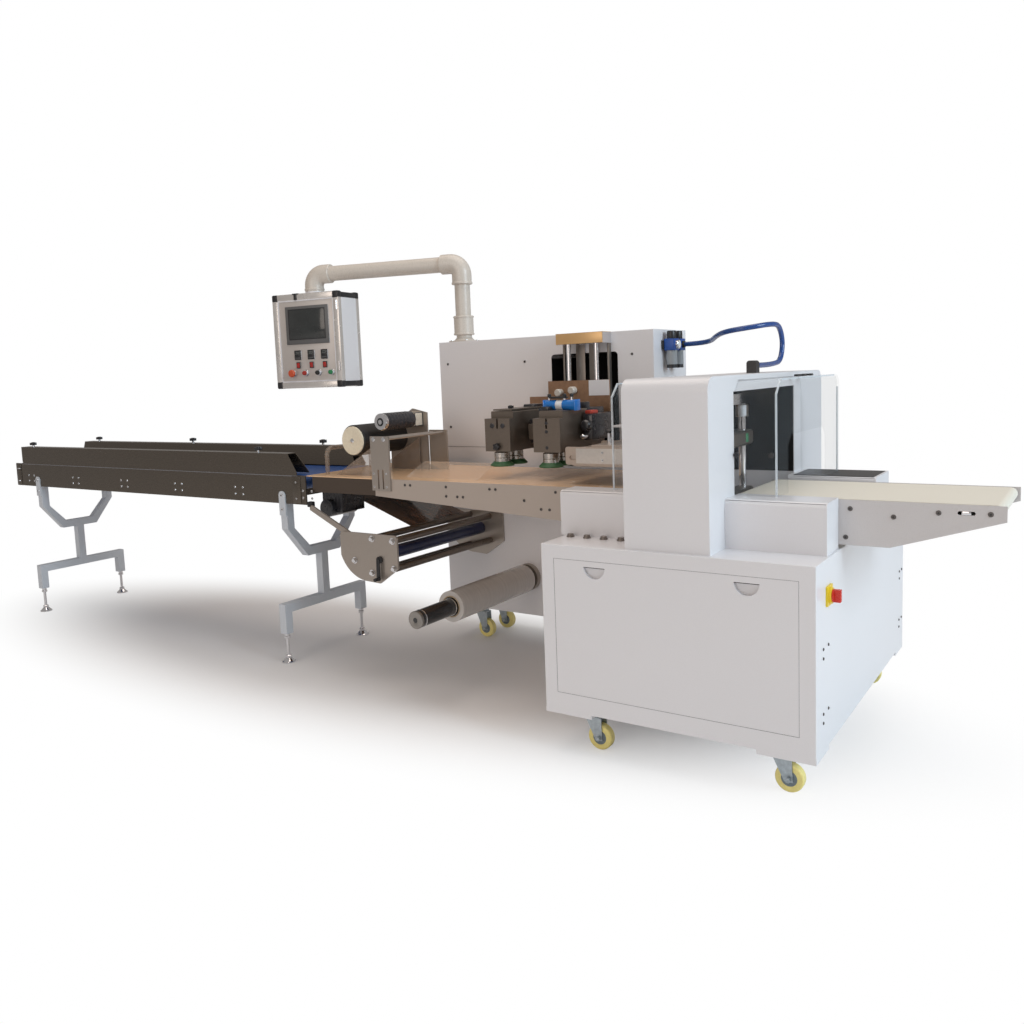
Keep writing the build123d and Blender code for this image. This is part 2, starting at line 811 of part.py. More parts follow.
def stand_frame(x):
    """A welded square-tube stand: a Y-shaped fork above and an H-shaped foot below."""
    half = stand_tube / 2
    arm = line_half_width - stand_outreach
    arm_low = infeed_low - stand_arm_drop
    beam_low = fork_height - stand_tube
    foot_low = foot_beam_height - foot_drop
    with BuildPart() as frame:
        with BuildSketch(Plane(origin=(x + half, line_y, 0), x_dir=(0, 1, 0), z_dir=(1, 0, 0))):
            for side in (-1, 1):
                with BuildLine():
                    Polyline((side * (arm + half), infeed_low), (side * (arm + half), arm_low),
                             (side * (fork_half + 8), beam_low), (0, beam_low), (0, fork_height),
                             (side * (fork_half - 14), fork_height), (side * (arm - half), arm_low),
                             (side * (arm - half), infeed_low), close=True)
                make_face()
                with BuildLine():
                    Polyline((0, foot_beam_height), (side * (foot_spread + half), foot_beam_height),
                             (side * (foot_spread + half), foot_low),
                             (side * (foot_spread - half), foot_low),
                             (side * (foot_spread - half), foot_beam_height - stand_tube),
                             (0, foot_beam_height - stand_tube), close=True)
                make_face()
            with Locations((0, (fork_height + foot_beam_height) / 2 - half)):
                Rectangle(stand_tube, fork_height - foot_beam_height)
        extrude(amount=-stand_tube)
        for side in (-1, 1):
            y = line_y + side * line_half_width
            near, far = sorted((y - side * (stand_outreach + 1), y + side * side_plate))
            block(x - half, x + half, near, far, infeed_low - stand_tab_drop, infeed_low)
            near, far = sorted((y, y + side * side_plate))
            block(x - half, x + half, near, far, infeed_low - stand_tab_drop,
                  infeed_low + stand_tab_rise)
        fillet(frame.edges().filter_by(Axis.Y).group_by(Axis.Z)[-1], half - 1)
    return frame.part


def stand_feet(x):
    """The two levelling feet of one stand: threaded rods with lock nuts and turned pads."""
    foot_low = foot_beam_height - foot_drop
    with BuildPart() as feet:
        for y in (line_y - foot_spread, line_y + foot_spread):
            rod((x, y, foot_pad_height - 4), (0, 0, 1), foot_rod_radius,
                foot_low - foot_pad_height + 4)
            rod((x, y, foot_low - 12), (0, 0, 1), 13, 10)
            with BuildSketch(Plane(origin=(x, y, 0), x_dir=(1, 0, 0), z_dir=(0, -1, 0))):
                with BuildLine():
                    Polyline((0, 0), (foot_pad_radius, 0), (foot_pad_radius, 6),
                             (foot_pad_radius - 6, 10), (16, foot_pad_height), (0, foot_pad_height),
                             close=True)
                make_face()
            revolve(axis=Axis((x, y, 0), (0, 0, 1)))
    return feet.part


stand_places = (infeed_left + stand_first, infeed_left + stand_second)
with BuildPart() as stand_frames:
    for x in stand_places:
        add(stand_frame(x))
save(stand_frames.part, "stand_frames")
with BuildPart() as levelling_feet:
    for x in stand_places:
        add(stand_feet(x))
save(levelling_feet.part, "levelling_feet")

# Sealing table: sheet top, tapered front plate, rear rim and cross bars to the tower
table_rear = plate_rear + table_rear_margin
table_plate_start = tower_left + table_plate_lead
table_low = belt_height - table_sheet
table_inner = plate_front + table_rim
bar_top = table_low - table_bar_drop
bar_low = bar_top - table_bar_height
with BuildPart() as table_top:
    block(infeed_right, table_end, table_inner, table_rear, table_low, belt_height)
save(table_top.part, "table_top")
with BuildPart() as table_frame:
    plate_on([(table_plate_start, belt_height), (cabinet_left, belt_height),
              (cabinet_left, belt_height - table_plate_depth_end),
              (table_plate_start, belt_height - table_plate_depth_start)], plate_front, table_rim)
    block(infeed_right + 40, table_plate_start + 60, table_inner, table_inner + 10,
          belt_height - table_plate_depth_start, table_low)
    for y0 in (table_inner, table_rear - table_rim):
        block(cabinet_left, table_end, y0, y0 + table_rim, deck_height, table_low)
    block(infeed_right + 40, cabinet_left, table_rear - table_rim, table_rear,
          belt_height - table_plate_depth_start, table_low)
    for x in (infeed_right + 60, tower_left + 60, tower_left + 500, cabinet_left - 120):
        reach = table_rear if x < tower_left else tower_front
        block(x, x + table_bar_width, table_inner, reach, bar_low, bar_top)
save(table_frame.part, "table_frame")

# Film arch over the film path, with slots to set its height, and the stand plate behind the drum
arch_start = tower_left + arch_offset
arch_end = arch_start + arch_width
arch_middle = (arch_start + arch_end) / 2
arch_top = belt_height + arch_rise
arch_rear = plate_rear - arch_rear_inset
drum_x = tower_left - drum_lead
drum_z = belt_height + drum_rise
drum_front = plate_front + former_margin
drum_rear = drum_front + drum_length
motor_x = drum_x + motor_offset
motor_z = drum_z + motor_lift
with BuildPart() as film_arch:
    block(arch_start, arch_end, plate_front - arch_plate, plate_front, belt_height - arch_drop, arch_top)
    with BuildSketch(front_plane(plate_front - arch_plate)):
        with Locations((arch_middle - 14, belt_height), (arch_middle + 14, belt_height)):
            SlotOverall(arch_slot_length, arch_slot_width, rotation=90)
    extrude(amount=-arch_plate, mode=Mode.SUBTRACT)
    block(arch_start, arch_end, arch_rear - arch_plate, arch_rear, belt_height, arch_top)
    for x in (arch_start + 24, arch_end - 24):
        rod((x, plate_front - arch_plate, arch_top - 2 * arch_rod_radius), (0, 1, 0),
            arch_rod_radius, arch_rear - plate_front + arch_plate)
    plate_on([(drum_x - 40, belt_height), (drum_x + 200, belt_height),
              (drum_x + 200, motor_z + 30), (drum_x + 110, motor_z + 50),
              (drum_x - 20, drum_z + 60), (drum_x - 40, drum_z + 30)], drum_rear, drum_stand_plate)
save(film_arch.part, "film_arch")

# Rubber drum above the former with a cream end disc
with BuildPart() as film_drum:
    rod((drum_x, drum_front + drum_disc_thickness, drum_z), (0, 1, 0), drum_radius,
        drum_length - drum_disc_thickness - seat_gap)
    fillet(film_drum.edges().group_by(Axis.Y)[0], 4)
    rod((drum_x, drum_front, drum_z), (0, 1, 0), drum_disc_radius, drum_disc_thickness)
save(film_drum.part, "film_drum")

# Motors: the round one beside the drum with its gearbox, and the servo with a fan under the table
servo_x = infeed_right + servo_gap
servo_front = plate_front + servo_front_margin
servo_low = bar_low - servo_height
with BuildPart() as drive_motors:
    rod((motor_x, drum_rear - motor_length, motor_z), (0, 1, 0), motor_radius,
        motor_length - gearbox_length)
    fillet(drive_motors.edges().group_by(Axis.Y)[0], 5)
    block(motor_x - gearbox_half, motor_x + gearbox_half, drum_rear - gearbox_length, drum_rear,
          motor_z - gearbox_half, motor_z + gearbox_half)
    block(servo_x, servo_x + servo_length, servo_front, servo_front + servo_width, servo_low, bar_low)
    rod((servo_x + servo_length * 0.4, servo_front - 30, servo_low + 20), (0, 1, 0),
        servo_fan_radius, servo_width + 30)
save(drive_motors.part, "drive_motors")

# Film former: two clear triangular plates beside the product channel and a bent guide tube
former_x0 = tower_left - former_lead
former_x1 = former_x0 + former_length
former_front = plate_front + former_margin
former_rear = plate_rear - former_margin
tube_x = former_x0 - former_tube_lead
tube_top = belt_height + former_tube_rise
with BuildPart() as film_former:
    for y in (former_front, former_rear - former_plate):
        plate_on([(former_x0, belt_height), (former_x1, belt_height),
                  (former_x1, belt_height + former_rise)], y, former_plate)
    with BuildLine() as tube_path:
        FilletPolyline((tube_x, former_front, belt_height), (tube_x, former_front, tube_top),
                       (tube_x, former_rear, tube_top), (tube_x, former_rear, belt_height),
                       radius=former_tube_bend)
    with BuildSketch(Plane(origin=(tube_x, former_front, belt_height))):
        Circle(former_tube_radius)
    sweep(path=tube_path.line)
save(film_former.part, "film_former")

# Film shaft held at the tower, with its roll
roll_front = line_y - roll_front_margin
roll_rear = roll_front + roll_length
shaft_front = roll_front - shaft_nose
with BuildPart() as film_shaft:
    rod((film_axis_x, shaft_front, film_axis_z), (0, 1, 0), shaft_radius,
        tower_front - shaft_seat - seat_gap - shaft_front)
    rod((film_axis_x, shaft_front, film_axis_z), (0, 1, 0), shaft_neck,
        tower_front - seat_gap - shaft_front)
    chamfer(film_shaft.edges().group_by(Axis.Y)[0], 4)
save(film_shaft.part, "film_shaft")
with BuildPart() as film_roll:
    rod((film_axis_x, roll_front, film_axis_z), (0, 1, 0), roll_radius, roll_length)
    rod((film_axis_x, roll_front - 1, film_axis_z), (0, 1, 0), core_radius, roll_length + 2,
        Mode.SUBTRACT)
    for y in (roll_front + core_ring, roll_rear - 2 * core_ring):
        rod((film_axis_x, y, film_axis_z), (0, 1, 0), core_radius + 1, core_ring)
    rod((film_axis_x, roll_front - 1, film_axis_z), (0, 1, 0), shaft_radius, roll_length + 2,
        Mode.SUBTRACT)
save(film_roll.part, "film_roll")

# Film unwinder: side plates with a crescent slot, studs and the flat bar that steadies them
roller_spots = [(198, -22), (320, -25), (86, -130), (190, -180), (322, -150)]
drive_spot = (262, -90)


def feeder_side(y, shift):
    """One side plate of the unwinder: square top, round belly below and a crescent slot."""
    left = feeder_x + shift
    right = left + feeder_width
    low = feeder_top - feeder_depth
    with BuildSketch(front_plane(y)) as side:
        with BuildLine():
            Polyline((left, feeder_top - 110), (left, feeder_top), (right, feeder_top),
                     (right, feeder_top - 150), (left + 235, low), (left + 150, low + 4))
            ThreePointArc((left + 150, low + 4), (left + 50, feeder_top - 180),
                          (left, feeder_top - 110))
        make_face()
        fillet(vertices().group_by(Axis.Y)[-1], feeder_corner)
        with Locations((left + drive_spot[0], feeder_top + drive_spot[1] - 20)):
            SlotArc(CenterArc((0, 0), feeder_slot_radius, -80, 150), feeder_slot_width,
                    mode=Mode.SUBTRACT)
    return side.sketch


with BuildPart() as unwinder:
    extrude(feeder_side(feeder_front, 0), amount=-feeder_plate)
    extrude(feeder_side(tower_front - feeder_plate, feeder_rear_shift), amount=-feeder_plate)
    bar_x = feeder_x + 70
    bar_z = feeder_top - 10
    plate_on([(bar_x, bar_z), (bar_x, bar_z - bar_width), (bar_x - bar_reach, bar_z - bar_width
             + bar_rise), (bar_x - bar_reach, bar_z + bar_rise)], feeder_front + feeder_plate,
             feeder_plate)
    rod((film_axis_x, tower_front - shaft_seat, film_axis_z), (0, 1, 0), shaft_flange_radius,
        shaft_seat)
    rod((film_axis_x, tower_front - shaft_seat - 1, film_axis_z), (0, 1, 0),
        shaft_neck + shaft_neck_play, shaft_seat + 2, Mode.SUBTRACT)
    for dx, dz in roller_spots:
        rod((feeder_x + dx, feeder_front - stud_length, feeder_top + dz), (0, 1, 0), stud_radius,
            stud_length)
save(unwinder.part, "unwinder_frame")
feeder_span = tower_front - feeder_front - 2 * feeder_plate
with BuildPart() as feeder_rollers:
    for dx, dz in roller_spots:
        rod((feeder_x + dx, feeder_front + feeder_plate, feeder_top + dz), (0, 1, 0),
            feeder_roller_radius, feeder_span)
    rod((feeder_x + drive_spot[0], feeder_front + feeder_plate, feeder_top + drive_spot[1]),
        (0, 1, 0), feeder_drive_radius, feeder_span)
save(feeder_rollers.part, "feeder_rollers")

# Film in the machine: the slanted web from the top roller, and the folded tent on the table
web_x = feeder_x + roller_spots[0][0]
web_z = feeder_top + roller_spots[0][1] + feeder_roller_radius
web_front = servo_front + servo_width + 10
web_end = slide_x + head_offsets[0] - wheel_disc_radius - 22
with BuildPart() as film_web:
    plate_on([(web_x, web_z), (web_x, web_z + web_thickness),
              (web_x - web_reach, web_z + web_rise + web_thickness),
              (web_x - web_reach, web_z + web_rise)], web_front, roll_rear - web_front)
    with BuildSketch(end_plane(arch_end)):
        with BuildLine():
            Polyline((line_y - tent_half_width, belt_height), (line_y, belt_height + tent_height),
                     (line_y + tent_half_width, belt_height),
                     (line_y + tent_half_width - 3, belt_height),
                     (line_y, belt_height + tent_height - web_thickness),
                     (line_y - tent_half_width + 3, belt_height), close=True)
        make_face()
    extrude(amount=web_end - arch_end)
save(film_web.part, "film_web")

# Height slide for the sealing unit: columns, guide ribs and end blocks, bolted to the tower
slide_left = slide_x - slide_column_spacing / 2
slide_right = slide_x + slide_column_spacing / 2
column_y = tower_front - slide_column_setback
head_z = belt_height + head_rise
carriage_bottom = head_z + carriage_clearance
carriage_top = carriage_bottom + carriage_height
slide_foot = carriage_bottom - slide_foot_drop
slide_head = tower_height - slide_top_thickness
slide_half = slide_top_width / 2
with BuildPart() as slide_frame:
    for z0, z1 in ((slide_head, tower_height), (slide_foot - slide_foot_thickness, slide_foot)):
        block(slide_x - slide_half, slide_x + slide_half, tower_front - slide_top_depth,
              tower_front, z0, z1)
    fillet(slide_frame.edges().filter_by(Axis.X).group_by(Axis.Y)[0], 4)
    for x in (slide_left, slide_right):
        rod((x, column_y, slide_foot), (0, 0, 1), slide_column_radius, slide_head - slide_foot)
    for x0 in (slide_x - slide_rib_width - 12, slide_x + 12):
        block(x0, x0 + slide_rib_width, tower_front - slide_rib_depth, tower_front, slide_foot,
              slide_head)
    for x0 in (slide_x - slide_half, slide_x + slide_half - slide_cheek_width):
        block(x0, x0 + slide_cheek_width, tower_front - slide_cheek_depth, tower_front, slide_foot,
              slide_head)
save(slide_frame.part, "slide_frame")

# Sealing unit carriage on the columns, with the shelf and back plates that carry the heads
carriage_half = carriage_width / 2
carriage_front = column_y - carriage_depth / 2
shelf_y = carriage_front - shelf_depth
shelf_top = carriage_bottom + shelf_height
back_top = shelf_top + back_plate_height
back_left = slide_x - back_plate_lead
with BuildPart() as seal_carriage:
    block(slide_x - carriage_half, slide_x + carriage_half, carriage_front,
          tower_front - slide_cheek_depth - 8, carriage_bottom, carriage_top)
    for x in (slide_left, slide_right):
        rod((x, column_y, carriage_bottom - 1), (0, 0, 1), slide_column_radius + slide_column_play,
            carriage_height + 2, Mode.SUBTRACT)
    block(slide_x + head_offsets[0] - 70, slide_x + head_offsets[1] + 70, shelf_y,
          shelf_y + shelf_depth, carriage_bottom, shelf_top)
    block(back_left, back_left + back_plate_width, carriage_front - back_plate_thickness,
          carriage_front, shelf_top, back_top)
    block(slide_x - upper_plate_lead, back_left + back_plate_width,
          carriage_front - back_plate_thickness, carriage_front, back_top,
          back_top + upper_plate_height)
save(seal_carriage.part, "seal_carriage")

# Sealing heads: front blocks with a clamp slit, gear housings behind, and a round cylinder on top
head_front = line_y - head_reach
head_back = head_front + head_plate_thickness
head_top = head_z + head_plate_height
housing_top = head_top + head_body_rise
with BuildPart() as seal_heads:
    for offset in head_offsets:
        x = slide_x + offset
        block(x - head_plate_width / 2, x + head_plate_width / 2, head_front, head_back, head_z, head_top)
        block(x - head_body_width / 2, x + head_body_width / 2, head_back, shelf_y, head_z, housing_top)
    fillet(seal_heads.edges().filter_by(Axis.Y).group_by(Axis.Z)[-1], 6)
    with BuildSketch(front_plane(head_front)):
        with Locations(*[(slide_x + offset, head_top - 14) for offset in head_offsets]):
            SlotOverall(60, 10, rotation=90)
    extrude(amount=-12, mode=Mode.SUBTRACT)
    rod((slide_x + head_offsets[1] - 64, head_back + 70, housing_top + cylinder_radius - 1),
        (1, 0, 0), cylinder_radius, cylinder_length)
save(seal_heads.part, "seal_heads")

# Fin wheels: two pairs under the heads, nipping the film along the line
disc_z = belt_height + wheel_disc_rise
for number, offset in enumerate(head_offsets, start=1):
    for side, place in ((-1, "front"), (1, "rear")):
        x = slide_x + offset
        y = line_y + side * (wheel_disc_radius + nip_gap / 2)
        with BuildPart() as fin_wheel:
            rod((x, y, disc_z), (0, 0, 1), wheel_disc_radius, wheel_disc_thickness)
            chamfer(fin_wheel.edges().group_by(Axis.Z)[-1], 6)
            rod((x, y, disc_z + wheel_disc_thickness), (0, 0, 1), wheel_hub_radius,
                head_z - seat_gap - disc_z - wheel_disc_thickness)
        save(fin_wheel.part, f"fin_wheel_{number}_{place}")

# Pressing belt unit: two rounded cheeks with slots, a belt between them and an arm to the tower
press_start = cabinet_left - press_lead
press_end = gantry_left - press_gap
press_z = belt_height + press_rise
press_front = line_y - press_half_width
press_rear = line_y + press_half_width
with BuildPart() as press_unit:
    for y in (press_front, press_rear - side_plate):
        with BuildSketch(front_plane(y)):
            with Locations(((press_start + press_end) / 2, press_z + press_height / 2)):
                RectangleRounded(press_end - press_start, press_height, press_corner)
            with Locations((press_start + 50, press_z + press_height * 0.4)):
                SlotOverall(press_slot_length, press_slot_height, mode=Mode.SUBTRACT)
        extrude(amount=-side_plate)
    with BuildSketch(front_plane(line_y)):
        with Locations(((press_start + press_end) / 2, press_z - press_belt_drop + press_height / 2)):
            SlotOverall(press_end - press_start - 16, press_height)
    extrude(amount=press_half_width - side_plate, both=True)
    block(press_start + 20, press_start + 80, press_rear - side_plate, tower_front,
          press_z + 20, press_z + 52)
    block(press_start + press_block_lead, press_end, press_front + side_plate,
          press_rear - side_plate, press_z + press_height - 20, press_z + press_height + 8)
save(press_unit.part, "press_unit")

# End sealer: shoes on rails along the deck, columns, crosshead with its cylinder, and two jaws
jaw_ys = (plate_front, plate_rear)
rail_top = deck_height + jaw_rail_height
shoe_top = rail_top + jaw_shoe_height
rail_half = jaw_shoe_half + jaw_carriage_travel + jaw_rail_spare
with BuildPart() as jaw_rails:
    for y in jaw_ys:
        block(gantry_x - rail_half, gantry_x + rail_half, y - jaw_rail_width / 2,
              y + jaw_rail_width / 2, deck_height, rail_top)
save(jaw_rails.part, "jaw_rails")
with BuildPart() as jaw_carriage:
    for y in jaw_ys:
        block(gantry_x - jaw_shoe_half, gantry_x + jaw_shoe_half, y - jaw_shoe_width / 2,
              y + jaw_shoe_width / 2, rail_top + seat_gap, shoe_top)
        rod((gantry_x, y, shoe_top), (0, 0, 1), jaw_column_radius, crosshead_z - shoe_top)
    block(gantry_x - 40, gantry_x + 40, jaw_ys[0] - jaw_end_margin, jaw_ys[1] + jaw_end_margin, crosshead_z,
          crosshead_z + crosshead_thickness)
    rod((gantry_x, line_y, crosshead_z - jaw_cylinder_length), (0, 0, 1), jaw_cylinder_radius,
        jaw_cylinder_length)
save(jaw_carriage.part, "jaw_carriage")
for name, low in (("upper_jaw", upper_jaw_z), ("lower_jaw", lower_jaw_z)):
    with BuildPart() as jaw:
        block(gantry_x - jaw_width / 2, gantry_x + jaw_width / 2, jaw_ys[0] - jaw_end_margin,
              jaw_ys[1] + jaw_end_margin, low, low + jaw_height)
        chamfer(jaw.edges().filter_by(Axis.Y), 8)
        for y in jaw_ys:
            rod((gantry_x, y, low - 1), (0, 0, 1), jaw_column_radius + jaw_play, jaw_height + 2,
                Mode.SUBTRACT)
    save(jaw.part, name)

# Swinging arm: base on the tower, pipe with two thick elbows, and the neck of the box
socket_top = tower_height + pole_flange_thickness + coupling_rise + coupling_length
with BuildPart() as arm_base:
    flange_half = pole_flange / 2
    block(pole_x - flange_half, pole_x + flange_half, pole_y - flange_half, pole_y + flange_half,
          tower_height, tower_height + pole_flange_thickness)
    fillet(arm_base.edges().filter_by(Axis.Z), 12)
    rod((pole_x, pole_y, tower_height + pole_flange_thickness), (0, 0, 1), pipe_radius,
        coupling_rise + coupling_length)
    rod((pole_x, pole_y, socket_top - coupling_length), (0, 0, 1), socket_radius, coupling_length)
save(arm_base.part, "arm_base")


def elbow(start, corner, end):
    """A pipe elbow round a corner of the arm, thicker than the pipe itself, inside the open part."""
    with BuildLine() as bend:
        FilletPolyline(start, corner, end, radius=elbow_radius)
    with BuildSketch(Plane(origin=start, z_dir=Vector(*corner) - Vector(*start))) as ring:
        Circle(socket_radius)
    sweep(ring.sketch, path=bend.line)


arm_foot = (pole_x, pole_y, socket_top + seat_gap)
arm_corner = (pole_x, pole_y, arm_height)
arm_tip = (box_x, box_y, arm_height)
arm_neck = (box_x, box_y, box_top + box_collar + seat_gap)
reach_x = arm_direction[0] * elbow_reach
reach_y = arm_direction[1] * elbow_reach
with BuildPart() as arm_pipe:
    with BuildLine() as arm_path:
        FilletPolyline(arm_foot, arm_corner, arm_tip, arm_neck, radius=elbow_radius)
    with BuildSketch(Plane(origin=arm_foot)):
        Circle(pipe_radius)
    sweep(path=arm_path.line)
    elbow((pole_x, pole_y, arm_height - elbow_reach), arm_corner,
          (pole_x + reach_x, pole_y + reach_y, arm_height))
    elbow((box_x - reach_x, box_y - reach_y, arm_height), arm_tip, arm_neck)
save(arm_pipe.part, "arm_pipe")

# Operator box: rounded profile frame round a recessed face with screen, controllers and switches
face_y = box_y - box_depth / 2
plate_y = face_y + box_recess
with BuildPart() as operator_box:
    block(box_x - box_width / 2, box_x + box_width / 2, face_y, face_y + box_depth, box_bottom, box_top)
    fillet(operator_box.edges().filter_by(Axis.Y), box_corner)
    block(box_x - box_width / 2 + box_frame, box_x + box_width / 2 - box_frame, face_y, plate_y,
          box_bottom + box_frame, box_top - box_frame, Mode.SUBTRACT)
    rod((box_x, box_y, box_top), (0, 0, 1), socket_radius, box_collar)
    screen_x = box_x + screen_shift
    screen_z = box_bottom + screen_bottom
    block(screen_x - screen_width / 2, screen_x + screen_width / 2, plate_y - screen_depth, plate_y,
          screen_z, screen_z + screen_height)
    for step in range(3):
        control_x = box_x + control_shift + (step - 1) * control_pitch
        control_z = box_bottom + control_bottom
        rocker_z = box_bottom + rocker_bottom
        block(control_x - control_width / 2, control_x + control_width / 2, plate_y - control_depth, plate_y,
              control_z, control_z + control_height)
        block(control_x - rocker_width / 2, control_x + rocker_width / 2, plate_y - rocker_depth, plate_y,
              rocker_z, rocker_z + rocker_height)
    for step in range(4):
        switch_x = box_x + switch_shift + (step - 1.5) * switch_pitch
        rod((switch_x, plate_y - switch_depth, box_bottom + switch_level), (0, 1, 0), switch_radius,
            switch_depth)
save(operator_box.part.rotate(Axis((box_x, box_y, 0), (0, 0, 1)), box_yaw), "operator_box")

# Air preparation unit on the tower's end wall: bracket, two bodies with caps, bowls and an outlet
air_y = rear_y - air_from_rear
air_z = tower_height - air_drop
air_x = cabinet_left + air_plate
fitting_y = air_y + air_spread
with BuildPart() as air_unit:
    block(cabinet_left, air_x, air_y - 2 * air_spread, air_y + 2 * air_spread, air_z - 20, air_z + 20)
    for y in (air_y - air_spread, fitting_y):
        block(air_x, air_x + air_body, y - 30, y + 30, air_z - 26, air_z + 26)
        rod((air_x + air_body / 2, y, air_z - 26 - air_bowl_length), (0, 0, 1), air_bowl_radius,
            air_bowl_length)
        rod((air_x + air_body / 2, y, air_z + 26), (0, 0, 1), air_bowl_radius - 4, 34)
    rod((air_x + air_body, fitting_y, air_z), (1, 0, 0), hose_radius + 3, fitting_length)
save(air_unit.part, "air_unit")

# Gland on the gantry's top, facing the rear
gland_x = gantry_x + gland_x_offset
gland_y = line_y + gland_margin
gland_z = gantry_height + gland_rise
with BuildPart() as hose_gland:
    block(gland_x - 20, gland_x + 20, gland_y - gland_nut - 40, gland_y - gland_nut, gantry_height,
          gland_z + 20)
    fillet(hose_gland.edges().filter_by(Axis.Y).group_by(Axis.Z)[-1], 12)
    rod((gland_x, gland_y - gland_nut, gland_z), (0, 1, 0), hose_radius + 5, gland_nut)
save(hose_gland.part, "hose_gland")

# Air hose: from the gland in an upright loop over the gantry to the outlet of the air unit
fitting_x = air_x + air_body + fitting_length
hose_steps = [
    (0, 0, 0), (0, 110, 0), (0, 225, 4), (0, 325, 14), (0, 363, 96), (0, 311, 169),
    (0, 211, 172), (-55, 126, 160), (-165, 116, 148), (-240, 201, 136),
]
hose_points = [(gland_x + dx, gland_y + dy, gland_z + dz) for dx, dy, dz in hose_steps]
hose_points += [(fitting_x + 116, fitting_y, air_z), (fitting_x, fitting_y, air_z)]


def bend_radii(points):
    """A tangent radius for every inner point: 0.45 of the shorter run, by the half turn's tangent."""
    radii = []
    for before, corner, after in zip(points, points[1:], points[2:]):
        run_in = Vector(*corner) - Vector(*before)
        run_out = Vector(*after) - Vector(*corner)
        half_turn = radians(run_in.get_angle(run_out)) / 2
        radii.append(0.45 * min(run_in.length, run_out.length) / tan(half_turn))
    return radii


hose_radii = bend_radii(hose_points)
with BuildPart() as air_hose:
    with BuildLine() as hose_path:
        FilletPolyline(*hose_points, radius=hose_radii)
    with BuildSketch(Plane(origin=hose_points[0], z_dir=(0, 1, 0))):
        Circle(hose_radius)
    sweep(path=hose_path.line)
save(air_hose.part, "air_hose")
print("hose radii", [round(radius, 1) for radius in hose_radii])
print("hose length", round(sum(edge.length for edge in hose_path.edges()), 1))
print("hose volume", round(air_hose.part.volume, 1))
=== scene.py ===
"""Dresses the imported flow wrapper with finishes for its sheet, belts and film, and fittings."""
from math import cos, pi, radians, sin

import bmesh
import bpy
from bpy.props import FloatProperty, FloatVectorProperty, IntProperty, PointerProperty
from mathutils import Matrix, Vector


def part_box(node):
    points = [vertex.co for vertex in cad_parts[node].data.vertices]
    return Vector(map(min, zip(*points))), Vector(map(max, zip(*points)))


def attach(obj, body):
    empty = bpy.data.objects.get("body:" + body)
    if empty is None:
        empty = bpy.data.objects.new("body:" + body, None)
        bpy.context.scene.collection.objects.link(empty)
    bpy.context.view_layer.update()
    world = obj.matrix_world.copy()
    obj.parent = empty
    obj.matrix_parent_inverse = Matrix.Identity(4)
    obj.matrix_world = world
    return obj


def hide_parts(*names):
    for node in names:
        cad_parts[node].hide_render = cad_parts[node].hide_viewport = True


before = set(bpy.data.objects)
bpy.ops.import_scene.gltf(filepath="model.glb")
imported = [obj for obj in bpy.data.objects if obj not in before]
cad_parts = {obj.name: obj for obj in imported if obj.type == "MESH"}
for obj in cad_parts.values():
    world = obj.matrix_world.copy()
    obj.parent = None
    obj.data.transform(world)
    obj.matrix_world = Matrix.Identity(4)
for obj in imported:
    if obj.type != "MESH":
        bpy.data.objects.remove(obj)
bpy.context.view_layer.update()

bl_info = {
    "name": "Flow wrapper dressing",
    "version": (1, 0, 0),
    "blender": (4, 5, 0),
    "location": "3D View > Sidebar > Wrapper",
    "description": "Finishes and fittings for a horizontal flow wrapper",
    "category": "Object",
}


CASTERS = ("front_left", "front_right", "rear_left", "rear_right", "tower_front", "tower_rear")
FINISHES = {}

# Directions: the product runs along X, and the operator stands in front, towards -Y
ALONG, FRONT, REAR, UP, DOWN = (1, 0, 0), (0, -1, 0), (0, 1, 0), (0, 0, 1), (0, 0, -1)

# Places on the machine, in metres
LINE_Y = -0.146
PLATE_FRONT, PLATE_REAR = -0.384, 0.092
SIDE_PLATES = ((PLATE_FRONT, FRONT), (PLATE_REAR, REAR))
TOWER_FRONT = 0.318
CABINET_END = 2.344
PULL_XS = (1.579, 2.127)
WINDOW = (0.826, 1.182, 1.050, 1.480, 0.320, 0.598)  # left, right, bottom, top, front, rear
STAND_XS = (-2.575, -0.328)
FOOT_OFFSET = 0.266
ROLL_X, ROLL_Z = 0.654, 0.377
DRUM_X, DRUM_Z = 0.085, 1.109
MOTOR_X, MOTOR_Z = 0.227, 1.194
UNWINDER_FACE = -0.440
HEAD_XS = (0.874, 1.122)
HEAD_FACE = -0.229
JAW_X = 1.845
CHEEK_FACE = -0.3008
HOSE_START, HOSE_RADIUS = (1.873, 0.180, 1.392), 0.011

# The operator's arm and box; the box is drawn square and then turned about its own pole
ARM_POLE, ARM_Z, PIPE_RADIUS, BASE_TOP = (0.176, 0.5), 1.990, 0.0400, 1.583
BOX_POLE, BOX_YAW = (-0.67568, 0.25578), radians(10)
BOX_FACE, BOX_BOTTOM, BOX_TOP = 0.15578, 1.362, 1.882
BOX_HALF, BOX_DEPTH = 0.22, 0.2
SCREEN_SHIFT, SCREEN_HALF, SCREEN_LOW, SCREEN_HIGH = 0.008, 0.142, 0.243, 0.451
CONTROLLER_SHIFT, CONTROLLER_PITCH = 0.023, 0.089
BUTTON_SHIFT, BUTTON_PITCH, BUTTON_LEVEL = 0.025, 0.087, 0.082

# The camera that was solved from the photograph, and its lens
CAMERA_PLACE = (3.0703, -3.3875, 1.3923)
CAMERA_YAW, CAMERA_PITCH, CAMERA_ROLL = 0.590, 0.108, -0.038
SENSOR_WIDTH, FOCAL_LENGTH = 36.0, 31.40
LENS_SHIFT = (-0.0026, -0.0397)
FAR_CLIP = 200.0

